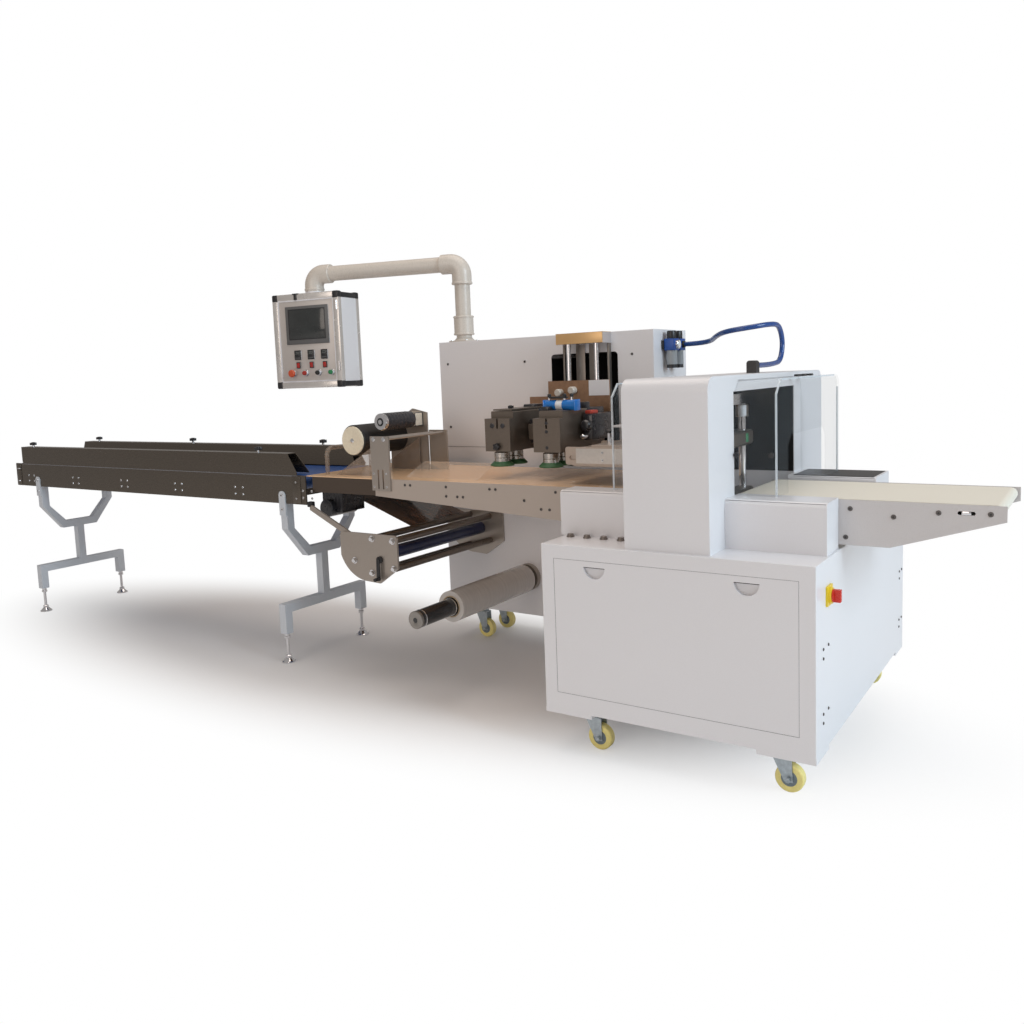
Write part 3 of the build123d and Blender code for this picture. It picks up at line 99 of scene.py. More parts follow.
# The studio: each lamp has its place, what it aims at and its size
COOL_LIGHT, WARM_LIGHT = (0.72, 0.88, 1.0), (1.0, 0.87, 0.78)
KEY_LAMP = ((10.0, -0.8, 4.5), (1.0, 0.0, 0.7), 4.5)
FILL_LAMP = ((0.5, -11.5, 3.6), (0.6, 0.0, 0.8), 6.0)
TOP_LAMP = ((0.8, 0.2, 6.5), (0.3, 0.0, 0.8), 5.0)
AMBIENT_TONE = (1.0, 0.95, 0.91, 1)
FLOOR_REACH = 60
FADE_SHIFT, FADE_SQUEEZE = (0.05, 0.05, 0.0), (0.31, 0.86, 1.0)
FADE_FROM, FADE_TO = 0.45, 1.02

# The grain under every finish: fine noise, with broad patches that shift its tone a little
GRAIN_DETAIL = 3.0
PATCH_SCALE, PATCH_DETAIL, PATCH_SHARE = 1.7, 1.0, 0.35
DARK_STOP, LIGHT_STOP = 0.45, 0.85
GLOSS_FROM, GLOSS_TO = 0.3, 0.7
RELIEF_DEPTH = 0.001
SMOOTHEST = 0.02

# Sides and steps of round fittings
SCREW_SIDES = 18
FINE_TURNS = 40
LIP_TURNS = 48
ROLL_TURNS = 56
STAR_STEPS, STAR_LOBES = 40, 5
HEXAGON = 6
BEVEL_STEPS = 2

# The most of a size that a rounded edge may take, and the radius that counts as nought
MOST_OF_HALF, ROD_SHARE, ON_AXIS = 0.45, 0.4, 1e-7


# Sizes and colours that a user may change

class WrapperStage(bpy.types.PropertyGroup):
    key_power: FloatProperty(
        name="Key light", description="Power of the cool soft light from the outfeed side",
        default=500.0, min=0.0, unit="POWER")
    fill_power: FloatProperty(
        name="Fill light", description="Power of the warm broad light from the operator's side",
        default=215.0, min=0.0, unit="POWER")
    top_power: FloatProperty(
        name="Top light", description="Power of the light over the machine",
        default=150.0, min=0.0, unit="POWER")
    ambient: FloatProperty(
        name="Surroundings", description="Strength of the even light from all round",
        default=0.34, min=0.0, max=2.0)
    floor_colour: FloatVectorProperty(
        name="Floor", description="Colour of the plain floor", subtype="COLOR", size=3,
        default=(0.93, 0.93, 0.935), min=0.0, max=1.0)


class WrapperColours(bpy.types.PropertyGroup):
    sheet_paint: FloatVectorProperty(
        name="Cabinet paint", description="Paint of the cabinets, the gantry and the stands",
        subtype="COLOR", size=3, default=(0.77, 0.765, 0.785), min=0.0, max=1.0)
    stainless: FloatVectorProperty(
        name="Infeed steel", description="Brushed steel of the infeed conveyor",
        subtype="COLOR", size=3, default=(0.135, 0.115, 0.095), min=0.0, max=1.0)
    table_steel: FloatVectorProperty(
        name="Table steel", description="Warm polished steel of the sealing table",
        subtype="COLOR", size=3, default=(0.95, 0.64, 0.39), min=0.0, max=1.0)
    caster_wheel: FloatVectorProperty(
        name="Caster wheels", description="Yellow tread of the casters",
        subtype="COLOR", size=3, default=(0.86, 0.74, 0.27), min=0.0, max=1.0)
    hose: FloatVectorProperty(
        name="Air hose", description="Blue of the air hose",
        subtype="COLOR", size=3, default=(0.012, 0.06, 0.24), min=0.0, max=1.0)


class WrapperSizes(bpy.types.PropertyGroup):
    screw_radius: FloatProperty(
        name="Screw head", description="Radius of the socket screws' heads",
        default=0.0062, min=0.002, max=0.02, unit="LENGTH")
    screw_depth: FloatProperty(
        name="Screw height", description="How far the screws' heads stand proud",
        default=0.0028, min=0.001, max=0.02, unit="LENGTH")
    knob_radius: FloatProperty(
        name="Clamp knob", description="Radius of the black clamp knobs on the infeed guards",
        default=0.021, min=0.01, max=0.05, unit="LENGTH")
    edge_round: FloatProperty(
        name="Edge round", description="Rounding of the small fittings' edges",
        default=0.0015, min=0.0002, max=0.01, unit="LENGTH")
    turns: IntProperty(
        name="Segments", description="Sides of the small round fittings",
        default=28, min=12, max=64)


# Finishes

def finish(name, colour, metallic=0.0, roughness=0.4, grain=(1, 1, 1), scale=60.0, contrast=0.06,
           bump=0.008, spread=0.03, alpha=1.0, coat=0.0):
    """A finish whose tone, gloss and surface follow a fine grain on the piece's own coordinates."""
    if name in FINISHES:
        return FINISHES[name]
    material = bpy.data.materials.new(name)
    material.use_nodes = True
    nodes, links = material.node_tree.nodes, material.node_tree.links
    shader = nodes["Principled BSDF"]
    shader.inputs["Metallic"].default_value = metallic
    shader.inputs["Alpha"].default_value = alpha
    shader.inputs["Coat Weight"].default_value = coat
    place = nodes.new("ShaderNodeTexCoord")
    mapping = nodes.new("ShaderNodeMapping")
    mapping.inputs["Scale"].default_value = grain
    noise = nodes.new("ShaderNodeTexNoise")
    noise.inputs["Scale"].default_value = scale
    noise.inputs["Detail"].default_value = GRAIN_DETAIL
    patches = nodes.new("ShaderNodeTexNoise")
    patches.inputs["Scale"].default_value = PATCH_SCALE
    patches.inputs["Detail"].default_value = PATCH_DETAIL
    links.new(place.outputs["Object"], mapping.inputs["Vector"])
    links.new(mapping.outputs["Vector"], noise.inputs["Vector"])
    links.new(place.outputs["Object"], patches.inputs["Vector"])
    both = nodes.new("ShaderNodeMath")
    both.operation = "MULTIPLY_ADD"
    both.inputs[1].default_value = PATCH_SHARE
    links.new(patches.outputs["Fac"], both.inputs[0])
    links.new(noise.outputs["Fac"], both.inputs[2])
    ramp = nodes.new("ShaderNodeValToRGB")
    dark, light = ramp.color_ramp.elements
    dark.position, light.position = DARK_STOP, LIGHT_STOP
    dark.color = [max(0.0, c * (1 - contrast)) for c in colour] + [1]
    light.color = [min(1.0, c * (1 + contrast)) for c in colour] + [1]
    links.new(both.outputs["Value"], ramp.inputs["Fac"])
    links.new(ramp.outputs["Color"], shader.inputs["Base Color"])
    gloss = nodes.new("ShaderNodeMapRange")
    gloss.inputs["From Min"].default_value = GLOSS_FROM
    gloss.inputs["From Max"].default_value = GLOSS_TO
    gloss.inputs["To Min"].default_value = max(SMOOTHEST, roughness - spread)
    gloss.inputs["To Max"].default_value = min(1.0, roughness + spread)
    links.new(noise.outputs["Fac"], gloss.inputs["Value"])
    links.new(gloss.outputs["Result"], shader.inputs["Roughness"])
    relief = nodes.new("ShaderNodeBump")
    relief.inputs["Strength"].default_value = bump
    relief.inputs["Distance"].default_value = RELIEF_DEPTH
    links.new(noise.outputs["Fac"], relief.inputs["Height"])
    links.new(relief.outputs["Normal"], shader.inputs["Normal"])
    FINISHES[name] = material
    return material


def wound_film():
    """Clear film wound tight on the roll: pale and glossy, with fine rings on its ends."""
    material = finish("Wound film", (0.56, 0.53, 0.50), roughness=0.16, grain=(1, 14, 1),
                      scale=8.0, contrast=0.07, bump=0.1, coat=0.6)
    nodes, links = material.node_tree.nodes, material.node_tree.links
    if "Rings" in nodes:
        return material
    centre = nodes.new("ShaderNodeMapping")
    centre.inputs["Location"].default_value = (-ROLL_X, 0.0, -ROLL_Z)
    rings = nodes.new("ShaderNodeTexWave")
    rings.name = "Rings"
    rings.wave_type = "RINGS"
    rings.rings_direction = "Y"
    rings.inputs["Scale"].default_value = 60.0
    rings.inputs["Distortion"].default_value = 0.6
    relief = nodes.new("ShaderNodeBump")
    relief.inputs["Strength"].default_value = 0.25
    relief.inputs["Distance"].default_value = RELIEF_DEPTH
    place = nodes["Texture Coordinate"]
    links.new(place.outputs["Object"], centre.inputs["Vector"])
    links.new(centre.outputs["Vector"], rings.inputs["Vector"])
    links.new(rings.outputs["Fac"], relief.inputs["Height"])
    links.new(nodes["Bump"].outputs["Normal"], relief.inputs["Normal"])
    links.new(relief.outputs["Normal"], nodes["Principled BSDF"].inputs["Normal"])
    return material


def sheet_paint():
    colour = tuple(bpy.context.scene.wrapper_colours.sheet_paint)
    return finish("Cabinet paint", colour, roughness=0.33, scale=420.0, contrast=0.015,
                  bump=0.03, spread=0.04, coat=0.15)


def infeed_steel():
    colour = tuple(bpy.context.scene.wrapper_colours.stainless)
    return finish("Infeed steel", colour, metallic=0.8, roughness=0.28, grain=(1, 40, 40),
                  scale=22.0, contrast=0.04, bump=0.01, spread=0.05)


def table_steel():
    colour = tuple(bpy.context.scene.wrapper_colours.table_steel)
    return finish("Table steel", colour, metallic=0.2, roughness=0.17, grain=(1, 20, 20),
                  scale=24.0, contrast=0.02, bump=0.003, spread=0.04)


def machined_steel():
    return finish("Machined steel", (0.17, 0.14, 0.115), metallic=0.6, roughness=0.33,
                  grain=(1, 1, 8), scale=60.0, contrast=0.06, bump=0.003)


def press_steel():
    return finish("Press plate", (0.46, 0.38, 0.32), metallic=0.5, roughness=0.33, grain=(6, 1, 1),
                  scale=60.0, contrast=0.03, bump=0.01)


def brown_plate():
    return finish("Anodised plate", (0.27, 0.155, 0.09), metallic=0.35, roughness=0.4, scale=50.0,
                  contrast=0.12, bump=0.03)


def aluminium():
    return finish("Anodised aluminium", (0.39, 0.345, 0.305), metallic=0.6, roughness=0.32,
                  grain=(1, 1, 6), scale=80.0, contrast=0.03, bump=0.01)


def chrome():
    return finish("Polished chrome", (0.78, 0.78, 0.80), metallic=1.0, roughness=0.1, scale=150.0,
                  contrast=0.03, bump=0.01, spread=0.04)


def black_plastic():
    return finish("Black plastic", (0.016, 0.016, 0.018), roughness=0.36, scale=300.0,
                  contrast=0.25, bump=0.08)


def dark_paint():
    return finish("Motor enamel", (0.022, 0.022, 0.026), roughness=0.28, scale=40.0, contrast=0.08,
                  bump=0.002, spread=0.02, coat=0.3)


def black_rubber():
    return finish("Drum rubber", (0.009, 0.008, 0.008), roughness=0.5, grain=(1, 30, 1), scale=9.0,
                  contrast=0.1, bump=0.06)


def clear_sheet():
    return finish("Clear guard sheet", (0.24, 0.28, 0.31), roughness=0.05, scale=14.0,
                  contrast=0.04, bump=0.002, alpha=0.06)


def clear_film():
    clear = finish("Clear film", (0.85, 0.74, 0.62), roughness=0.1, grain=(1, 4, 2), scale=7.0,
                   contrast=0.1, bump=0.5, spread=0.06, alpha=0.12, coat=0.9)
    # More than 6 cm from the height z = 1 m the web turns a nearly opaque dark brown: the film's
    # brown tint with painted shade from the dark machine behind it
    shaded_film = finish("Film with painted shade", (0.12, 0.065, 0.035), roughness=0.15, grain=(1, 8, 1), scale=6.0,
                  contrast=0.6, alpha=0.92)
    return by_place("Film web", clear, shaded_film, (0.0, 0.0, 1.0), (0, 0, 1), 0.06)


def cream_pipe():
    return finish("Cream pipe", (0.60, 0.55, 0.49), roughness=0.28, scale=200.0, contrast=0.03,
                  bump=0.03)


def dull_steel():
    return finish("Zinc steel", (0.42, 0.47, 0.50), metallic=0.8, roughness=0.38, scale=70.0,
                  contrast=0.15, bump=0.06)


def by_place(name, near, far, origin, scale, limit):
    """Two finishes on one piece: one near a place on its coordinates, the other beyond a limit."""
    if name in FINISHES:
        return FINISHES[name]
    material = near.copy()
    material.name = name
    nodes, links = material.node_tree.nodes, material.node_tree.links
    outer = nodes.new("ShaderNodeBsdfPrincipled")
    inner = nodes["Principled BSDF"]
    source = far.node_tree.nodes["Principled BSDF"]
    tone = far.node_tree.nodes["Color Ramp"].color_ramp
    ramp = nodes.new("ShaderNodeValToRGB")
    for step, (place, colour) in enumerate([(e.position, tuple(e.color)) for e in tone.elements]):
        ramp.color_ramp.elements[step].position = place
        ramp.color_ramp.elements[step].color = colour
    links.new(nodes["Color Ramp"].inputs["Fac"].links[0].from_socket, ramp.inputs["Fac"])
    links.new(ramp.outputs["Color"], outer.inputs["Base Color"])
    links.new(nodes["Map Range"].outputs["Result"], outer.inputs["Roughness"])
    for label in ("Metallic", "Alpha"):
        outer.inputs[label].default_value = source.inputs[label].default_value
    links.new(nodes["Bump"].outputs["Normal"], outer.inputs["Normal"])
    shift = nodes.new("ShaderNodeVectorMath")
    shift.operation = "SUBTRACT"
    shift.inputs[1].default_value = origin
    squeeze = nodes.new("ShaderNodeVectorMath")
    squeeze.operation = "MULTIPLY"
    squeeze.inputs[1].default_value = scale
    reach = nodes.new("ShaderNodeVectorMath")
    reach.operation = "LENGTH"
    beyond = nodes.new("ShaderNodeMath")
    beyond.operation = "GREATER_THAN"
    beyond.inputs[1].default_value = limit
    mix = nodes.new("ShaderNodeMixShader")
    links.new(nodes["Texture Coordinate"].outputs["Object"], shift.inputs[0])
    links.new(shift.outputs["Vector"], squeeze.inputs[0])
    links.new(squeeze.outputs["Vector"], reach.inputs[0])
    links.new(reach.outputs["Value"], beyond.inputs[0])
    links.new(beyond.outputs["Value"], mix.inputs["Fac"])
    links.new(inner.outputs["BSDF"], mix.inputs[1])
    links.new(outer.outputs["BSDF"], mix.inputs[2])
    links.new(mix.outputs["Shader"], nodes["Material Output"].inputs["Surface"])
    FINISHES[name] = material
    return material


# Near-black matt finish: painted shade in the pull recesses and the tower's window pocket, and dark
# plates with painted shade in the gantry's bay
def dark_lining_and_painted_shade():
    return finish("Dark lining and painted shade", (0.006, 0.006, 0.007), roughness=0.9, scale=40.0, contrast=0.3)


def seam_shadow():
    return finish("Seam", (0.22, 0.22, 0.24), roughness=0.7, scale=300.0, contrast=0.15,
                  bump=0.05)


# Mesh tools

def soften(mesh, edge):
    """Rounds every edge of a bmesh, where the rounding is more than nought."""
    if edge > 0:
        bmesh.ops.bevel(mesh, geom=mesh.edges[:], offset=edge, segments=BEVEL_STEPS, profile=0.5,
                        affect="EDGES", clamp_overlap=True)


class Shell:
    """Collects blocks, bars, turned shapes and plates into one mesh of several finishes."""

    def __init__(self):
        self.points, self.faces, self.slots, self.finishes = [], [], [], []

    def take(self, mesh, material):
        """Adds a bmesh under a finish and frees it."""
        if material not in self.finishes:
            self.finishes.append(material)
        bmesh.ops.recalc_face_normals(mesh, faces=mesh.faces[:])
        first = len(self.points)
        mesh.verts.ensure_lookup_table()
        mesh.verts.index_update()
        self.points += [tuple(vert.co) for vert in mesh.verts]
        for face in mesh.faces:
            self.faces.append([first + vert.index for vert in face.verts])
            self.slots.append(self.finishes.index(material))
        mesh.free()

    def block(self, low, high, material, edge=None, turn=None):
        """A block between two corners with rounded edges, turned about its middle by a matrix."""
        size = Vector(high) - Vector(low)
        middle = (Vector(high) + Vector(low)) / 2
        mesh = bmesh.new()
        bmesh.ops.create_cube(mesh, size=1.0, matrix=Matrix.Diagonal((*size, 1.0)))
        if edge is None:
            edge = bpy.context.scene.wrapper_sizes.edge_round
        edge = min(edge, min(size) * MOST_OF_HALF)
        soften(mesh, edge)
        spin = turn.to_4x4() if turn else Matrix.Identity(4)
        bmesh.ops.transform(mesh, matrix=Matrix.Translation(middle) @ spin, verts=mesh.verts[:])
        self.take(mesh, material)

    def turned(self, origin, axis, profile, material, segments=None):
        """(radius, height) pairs turned about an axis, closed where the radius is nought."""
        segments = segments or bpy.context.scene.wrapper_sizes.turns
        stand = Vector(axis).normalized().to_track_quat("Z", "Y").to_matrix().to_4x4()
        stand.translation = Vector(origin)
        mesh = bmesh.new()
        rings = []
        for radius, height in profile:
            if radius <= ON_AXIS:
                rings.append([mesh.verts.new((0, 0, height))])
                continue
            rings.append([mesh.verts.new((radius * cos(2 * pi * i / segments),
                                          radius * sin(2 * pi * i / segments), height))
                          for i in range(segments)])
        for lower, upper in zip(rings, rings[1:]):
            for i in range(segments):
                j = (i + 1) % segments
                loop = [lower[i % len(lower)], lower[j % len(lower)],
                        upper[j % len(upper)], upper[i % len(upper)]]
                loop = [vert for n, vert in enumerate(loop) if vert not in loop[:n]]
                if len(loop) > 2:
                    mesh.faces.new(loop)
        bmesh.ops.transform(mesh, matrix=stand, verts=mesh.verts[:])
        self.take(mesh, material)

    def rod(self, origin, axis, radius, length, material, edge=0.0008, segments=None):
        """A solid round bar with softened ends."""
        edge = min(edge, radius * ROD_SHARE, length * ROD_SHARE)
        profile = [(0, 0), (radius - edge, 0), (radius, edge), (radius, length - edge),
                   (radius - edge, length), (0, length)]
        self.turned(origin, axis, profile, material, segments)

    def prism(self, outline, origin, across, up, depth, material, edge=0.0):
        """A flat shape drawn in a plane and thickened along the plane's normal."""
        across, up = Vector(across).normalized(), Vector(up).normalized()
        normal = across.cross(up)
        mesh = bmesh.new()
        ring = [mesh.verts.new(Vector(origin) + across * x + up * z) for x, z in outline]
        face = mesh.faces.new(ring)
        grown = bmesh.ops.extrude_face_region(mesh, geom=[face])
        moved = [item for item in grown["geom"] if isinstance(item, bmesh.types.BMVert)]
        bmesh.ops.translate(mesh, vec=normal * depth, verts=moved)
        soften(mesh, edge)
        self.take(mesh, material)

    def turned_about(self, pole, angle):
        """Turns all that the shell holds about an upright pole."""
        c, s = cos(angle), sin(angle)
        px, py = pole
        self.points = [(px + c * (x - px) - s * (y - py), py + s * (x - px) + c * (y - py), z)
                       for x, y, z in self.points]

    def piece(self, name, body, sharp=32.0):
        """Makes the object, gives it its finishes and lets it ride on a body."""
        mesh = bpy.data.meshes.new(name)
        mesh.from_pydata(self.points, [], self.faces)
        for material in self.finishes:
            mesh.materials.append(material)
        mesh.polygons.foreach_set("material_index", self.slots)
        mesh.shade_smooth()
        mesh.set_sharp_from_angle(angle=radians(sharp))
        item = bpy.data.objects.new(name, mesh)
        bpy.context.scene.collection.objects.link(item)
        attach(item, body)
        return item


def ring_profile(inner, outer, low, high, edge=0.0006):
    """The closed profile of a ring for a turned shape."""
    return [(inner, low), (outer - edge, low), (outer, low + edge), (outer, high - edge),
            (outer - edge, high), (inner, high), (inner, low)]


def cap_profile(radius, side, crown, height, start=0):
    """The profile of a solid cap whose side goes up and then narrows to its crown."""
    return [(0, start), (radius, start), (radius, side), (crown, height), (0, height)]


def ends_of(box):
    """The lowest and highest corner of a box as vectors."""
    return [Vector(corner) for corner in box]


def socket_screw_tree(name, head, dark):
    """A Geometry Nodes tree that stands a socket screw on every point, along its facing."""
    tree = bpy.data.node_groups.new(name, "GeometryNodeTree")
    tree.interface.new_socket("Geometry", in_out="INPUT", socket_type="NodeSocketGeometry")
    for label, value in (("Head radius", 0.006), ("Head height", 0.003)):
        socket = tree.interface.new_socket(label, in_out="INPUT", socket_type="NodeSocketFloat")
        socket.default_value = value
        socket.subtype = "DISTANCE"
    sides = tree.interface.new_socket("Sides", in_out="INPUT", socket_type="NodeSocketInt")
    sides.default_value = SCREW_SIDES
    tree.interface.new_socket("Geometry", in_out="OUTPUT", socket_type="NodeSocketGeometry")
    nodes, links = tree.nodes, tree.links
    given = nodes.new("NodeGroupInput")
    made = nodes.new("NodeGroupOutput")

    def scaled(socket, factor):
        node = nodes.new("ShaderNodeMath")
        node.operation = "MULTIPLY"
        node.inputs[1].default_value = factor
        links.new(socket, node.inputs[0])
        return node.outputs[0]

    def cone(vertices, bottom, top, depth):
        node = nodes.new("GeometryNodeMeshCone")
        if isinstance(vertices, int):
            node.inputs["Vertices"].default_value = vertices
        else:
            links.new(vertices, node.inputs["Vertices"])
        links.new(bottom, node.inputs["Radius Bottom"])
        links.new(top, node.inputs["Radius Top"])
        links.new(depth, node.inputs["Depth"])
        return node.outputs["Mesh"]

    def coated(mesh, material):
        node = nodes.new("GeometryNodeSetMaterial")
        node.inputs["Material"].default_value = material
        links.new(mesh, node.inputs["Geometry"])
        return node.outputs["Geometry"]

    radius, height = given.outputs["Head radius"], given.outputs["Head height"]
    sides = given.outputs["Sides"]
    crown = cone(sides, radius, scaled(radius, 0.8), height)
    skirt = cone(sides, scaled(radius, 1.04), scaled(radius, 0.97), scaled(height, 0.7))
    hollow = cone(HEXAGON, scaled(radius, 0.46), scaled(radius, 0.44), scaled(height, 1.04))
    join = nodes.new("GeometryNodeJoinGeometry")
    for part in (coated(crown, head), coated(skirt, head), coated(hollow, dark)):
        links.new(part, join.inputs["Geometry"])
    facing = nodes.new("GeometryNodeInputNamedAttribute")
    facing.data_type = "FLOAT_VECTOR"
    facing.inputs["Name"].default_value = "facing"
    align = nodes.new("FunctionNodeAlignRotationToVector")
    align.axis = "Z"
    links.new(facing.outputs["Attribute"], align.inputs["Vector"])
    place = nodes.new("GeometryNodeInstanceOnPoints")
    links.new(given.outputs["Geometry"], place.inputs["Points"])
    links.new(join.outputs["Geometry"], place.inputs["Instance"])
    links.new(align.outputs["Rotation"], place.inputs["Rotation"])
    real = nodes.new("GeometryNodeRealizeInstances")
    links.new(place.outputs["Instances"], real.inputs["Geometry"])
    links.new(real.outputs["Geometry"], made.inputs["Geometry"])
    return tree


def screw_set(name, places, body, radius=None, height=None, head=None):
    """Socket screws at (point, facing) places, as one plain mesh that rides on a body."""
    sizes = bpy.context.scene.wrapper_sizes
    tree = socket_screw_tree(name + "_rule", head or chrome(), black_plastic())
    seeds = bpy.data.meshes.new(name + "_places")
    seeds.from_pydata([tuple(point) for point, facing in places], [], [])
    attribute = seeds.attributes.new("facing", "FLOAT_VECTOR", "POINT")
    attribute.data.foreach_set("vector", [c for point, facing in places for c in facing])
    source = bpy.data.objects.new(name + "_source", seeds)
    bpy.context.scene.collection.objects.link(source)
    modifier = source.modifiers.new("Screws", "NODES")
    modifier.node_group = tree
    values = {"Head radius": radius or sizes.screw_radius,
              "Head height": height or sizes.screw_depth, "Sides": SCREW_SIDES}
    for item in tree.interface.items_tree:
        if item.item_type == "SOCKET" and item.in_out == "INPUT" and item.name in values:
            modifier[item.identifier] = values[item.name]
    view = bpy.context.evaluated_depsgraph_get()
    mesh = bpy.data.meshes.new_from_object(source.evaluated_get(view), depsgraph=view)
    bpy.data.objects.remove(source)
    mesh.name = name
    item = bpy.data.objects.new(name, mesh)
    bpy.context.scene.collection.objects.link(item)
    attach(item, body)


def star_knob(shell, base, axis, radius, material, stem=0.012):
    """A five-lobed clamp knob on a short stem, domed on top."""
    axis = Vector(axis).normalized()
    turn = axis.to_track_quat("Z", "Y").to_matrix()
    shell.rod(base, axis, radius * 0.32, stem, chrome())
    outline = []
    for step in range(STAR_STEPS):
        angle = 2 * pi * step / STAR_STEPS
        reach = radius * (0.86 + 0.14 * cos(STAR_LOBES * angle))
        outline.append((reach * cos(angle), reach * sin(angle)))
    top = Vector(base) + axis * stem
    shell.prism(outline, top, turn @ Vector((1, 0, 0)), turn @ Vector((0, 1, 0)), radius * 0.75,
                material, edge=radius * 0.12)
    dome = [(radius * 0.5, 0), (radius * 0.42, radius * 0.12), (0, radius * 0.14)]
    shell.turned(top + axis * radius * 0.75, axis, dome, material)


def paint_node(name, material):
    """Gives a carried-over CAD piece its finish."""
    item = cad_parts[name]
    if not item.material_slots:
        item.data.materials.append(material)
    for slot in item.material_slots:
        slot.material = material


# Operators

class WRAPPER_OT_stage(bpy.types.Operator):
    """Set the floor, the soft lights, the surroundings and the camera at the photograph's angle"""
    bl_idname = "wrapper.stage"
    bl_label = "Stage and camera"

    def execute(self, context):
        stage = context.scene.wrapper_stage
        self.camera(context)
        self.floor(context, stage)
        lamps = {"Key": (KEY_LAMP, stage.key_power, COOL_LIGHT),
                 "Fill": (FILL_LAMP, stage.fill_power, WARM_LIGHT),
                 "Top": (TOP_LAMP, stage.top_power, WARM_LIGHT)}
        for name, ((place, target, size), power, colour) in lamps.items():
            lamp = bpy.data.lights.new(name, "AREA")
            lamp.size, lamp.energy, lamp.color = size, power, colour
            item = bpy.data.objects.new(name, lamp)
            item.location = place
            aim = Vector(target) - Vector(place)
            item.rotation_euler = aim.to_track_quat("-Z", "Y").to_euler()
            context.scene.collection.objects.link(item)
        self.surroundings(context, stage)
        context.scene.view_settings.view_transform = "Standard"
        return {"FINISHED"}

    @staticmethod
    def camera(context):
        """Sets the camera where the photograph's own lines put it."""
        yaw, pitch, roll = CAMERA_YAW, CAMERA_PITCH, CAMERA_ROLL
        ahead = Vector((-sin(yaw) * cos(pitch), cos(yaw) * cos(pitch), -sin(pitch)))
        right = Vector((cos(yaw), sin(yaw), 0))
        up = right.cross(ahead)
        tilted_right = cos(roll) * right + sin(roll) * up
        tilted_up = cos(roll) * up - sin(roll) * right
        lens = bpy.data.cameras.new("Camera")
        lens.sensor_width, lens.lens = SENSOR_WIDTH, FOCAL_LENGTH
        lens.shift_x, lens.shift_y = LENS_SHIFT
        lens.clip_end = FAR_CLIP
        camera = bpy.data.objects.new("Camera", lens)
        turn = Matrix((tilted_right, tilted_up, -ahead)).transposed()
        camera.matrix_world = Matrix.Translation(CAMERA_PLACE) @ turn.to_4x4()
        context.scene.collection.objects.link(camera)
        context.scene.camera = camera

    @staticmethod
    def floor(context, stage):
        """Lays a plain floor that fades to white, for the camera alone, away from the machine."""
        mesh = bpy.data.meshes.new("Floor")
        reach = FLOOR_REACH
        edges = ((-reach, -reach, 0), (reach, -reach, 0), (reach, reach, 0), (-reach, reach, 0))
        mesh.from_pydata(edges, [], [(0, 1, 2, 3)])
        floor = bpy.data.objects.new("Floor", mesh)
        context.scene.collection.objects.link(floor)
        material = finish("Studio floor", tuple(stage.floor_colour), roughness=0.8, scale=3.0,
                          contrast=0.006, bump=0.0)
        mesh.materials.append(material)
        nodes, links = material.node_tree.nodes, material.node_tree.links
        squeeze = nodes.new("ShaderNodeMapping")
        squeeze.inputs["Location"].default_value = FADE_SHIFT
        squeeze.inputs["Scale"].default_value = FADE_SQUEEZE
        distance = nodes.new("ShaderNodeVectorMath")
        distance.operation = "LENGTH"
        fade = nodes.new("ShaderNodeMapRange")
        fade.interpolation_type = "SMOOTHSTEP"
        fade.inputs["From Min"].default_value = FADE_FROM
        fade.inputs["From Max"].default_value = FADE_TO
        white = nodes.new("ShaderNodeEmission")
        rays = nodes.new("ShaderNodeLightPath")
        seen = nodes.new("ShaderNodeMath")
        seen.operation = "MULTIPLY"
        mix = nodes.new("ShaderNodeMixShader")
        links.new(nodes["Texture Coordinate"].outputs["Object"], squeeze.inputs["Vector"])
        links.new(squeeze.outputs["Vector"], distance.inputs[0])
        links.new(distance.outputs["Value"], fade.inputs["Value"])
        links.new(fade.outputs["Result"], seen.inputs[0])
        links.new(rays.outputs["Is Camera Ray"], seen.inputs[1])
        links.new(seen.outputs["Value"], mix.inputs["Fac"])
        links.new(nodes["Principled BSDF"].outputs["BSDF"], mix.inputs[1])
        links.new(white.outputs["Emission"], mix.inputs[2])
        links.new(mix.outputs["Shader"], nodes["Material Output"].inputs["Surface"])

    @staticmethod
    def surroundings(context, stage):
        """Lights the machine evenly from all round, while the camera sees plain white."""
        world = bpy.data.worlds.new("Surroundings")
        world.use_nodes = True
        context.scene.world = world
        nodes, links = world.node_tree.nodes, world.node_tree.links
        even = nodes["Background"]
        even.inputs["Color"].default_value = AMBIENT_TONE
        even.inputs["Strength"].default_value = stage.ambient
        white = nodes.new("ShaderNodeBackground")
        white.inputs["Color"].default_value = (1, 1, 1, 1)
        white.inputs["Strength"].default_value = 1.0
        rays = nodes.new("ShaderNodeLightPath")
        mix = nodes.new("ShaderNodeMixShader")
        links.new(rays.outputs["Is Camera Ray"], mix.inputs["Fac"])
        links.new(even.outputs[0], mix.inputs[1])
        links.new(white.outputs[0], mix.inputs[2])
        links.new(mix.outputs[0], nodes["World Output"].inputs["Surface"])


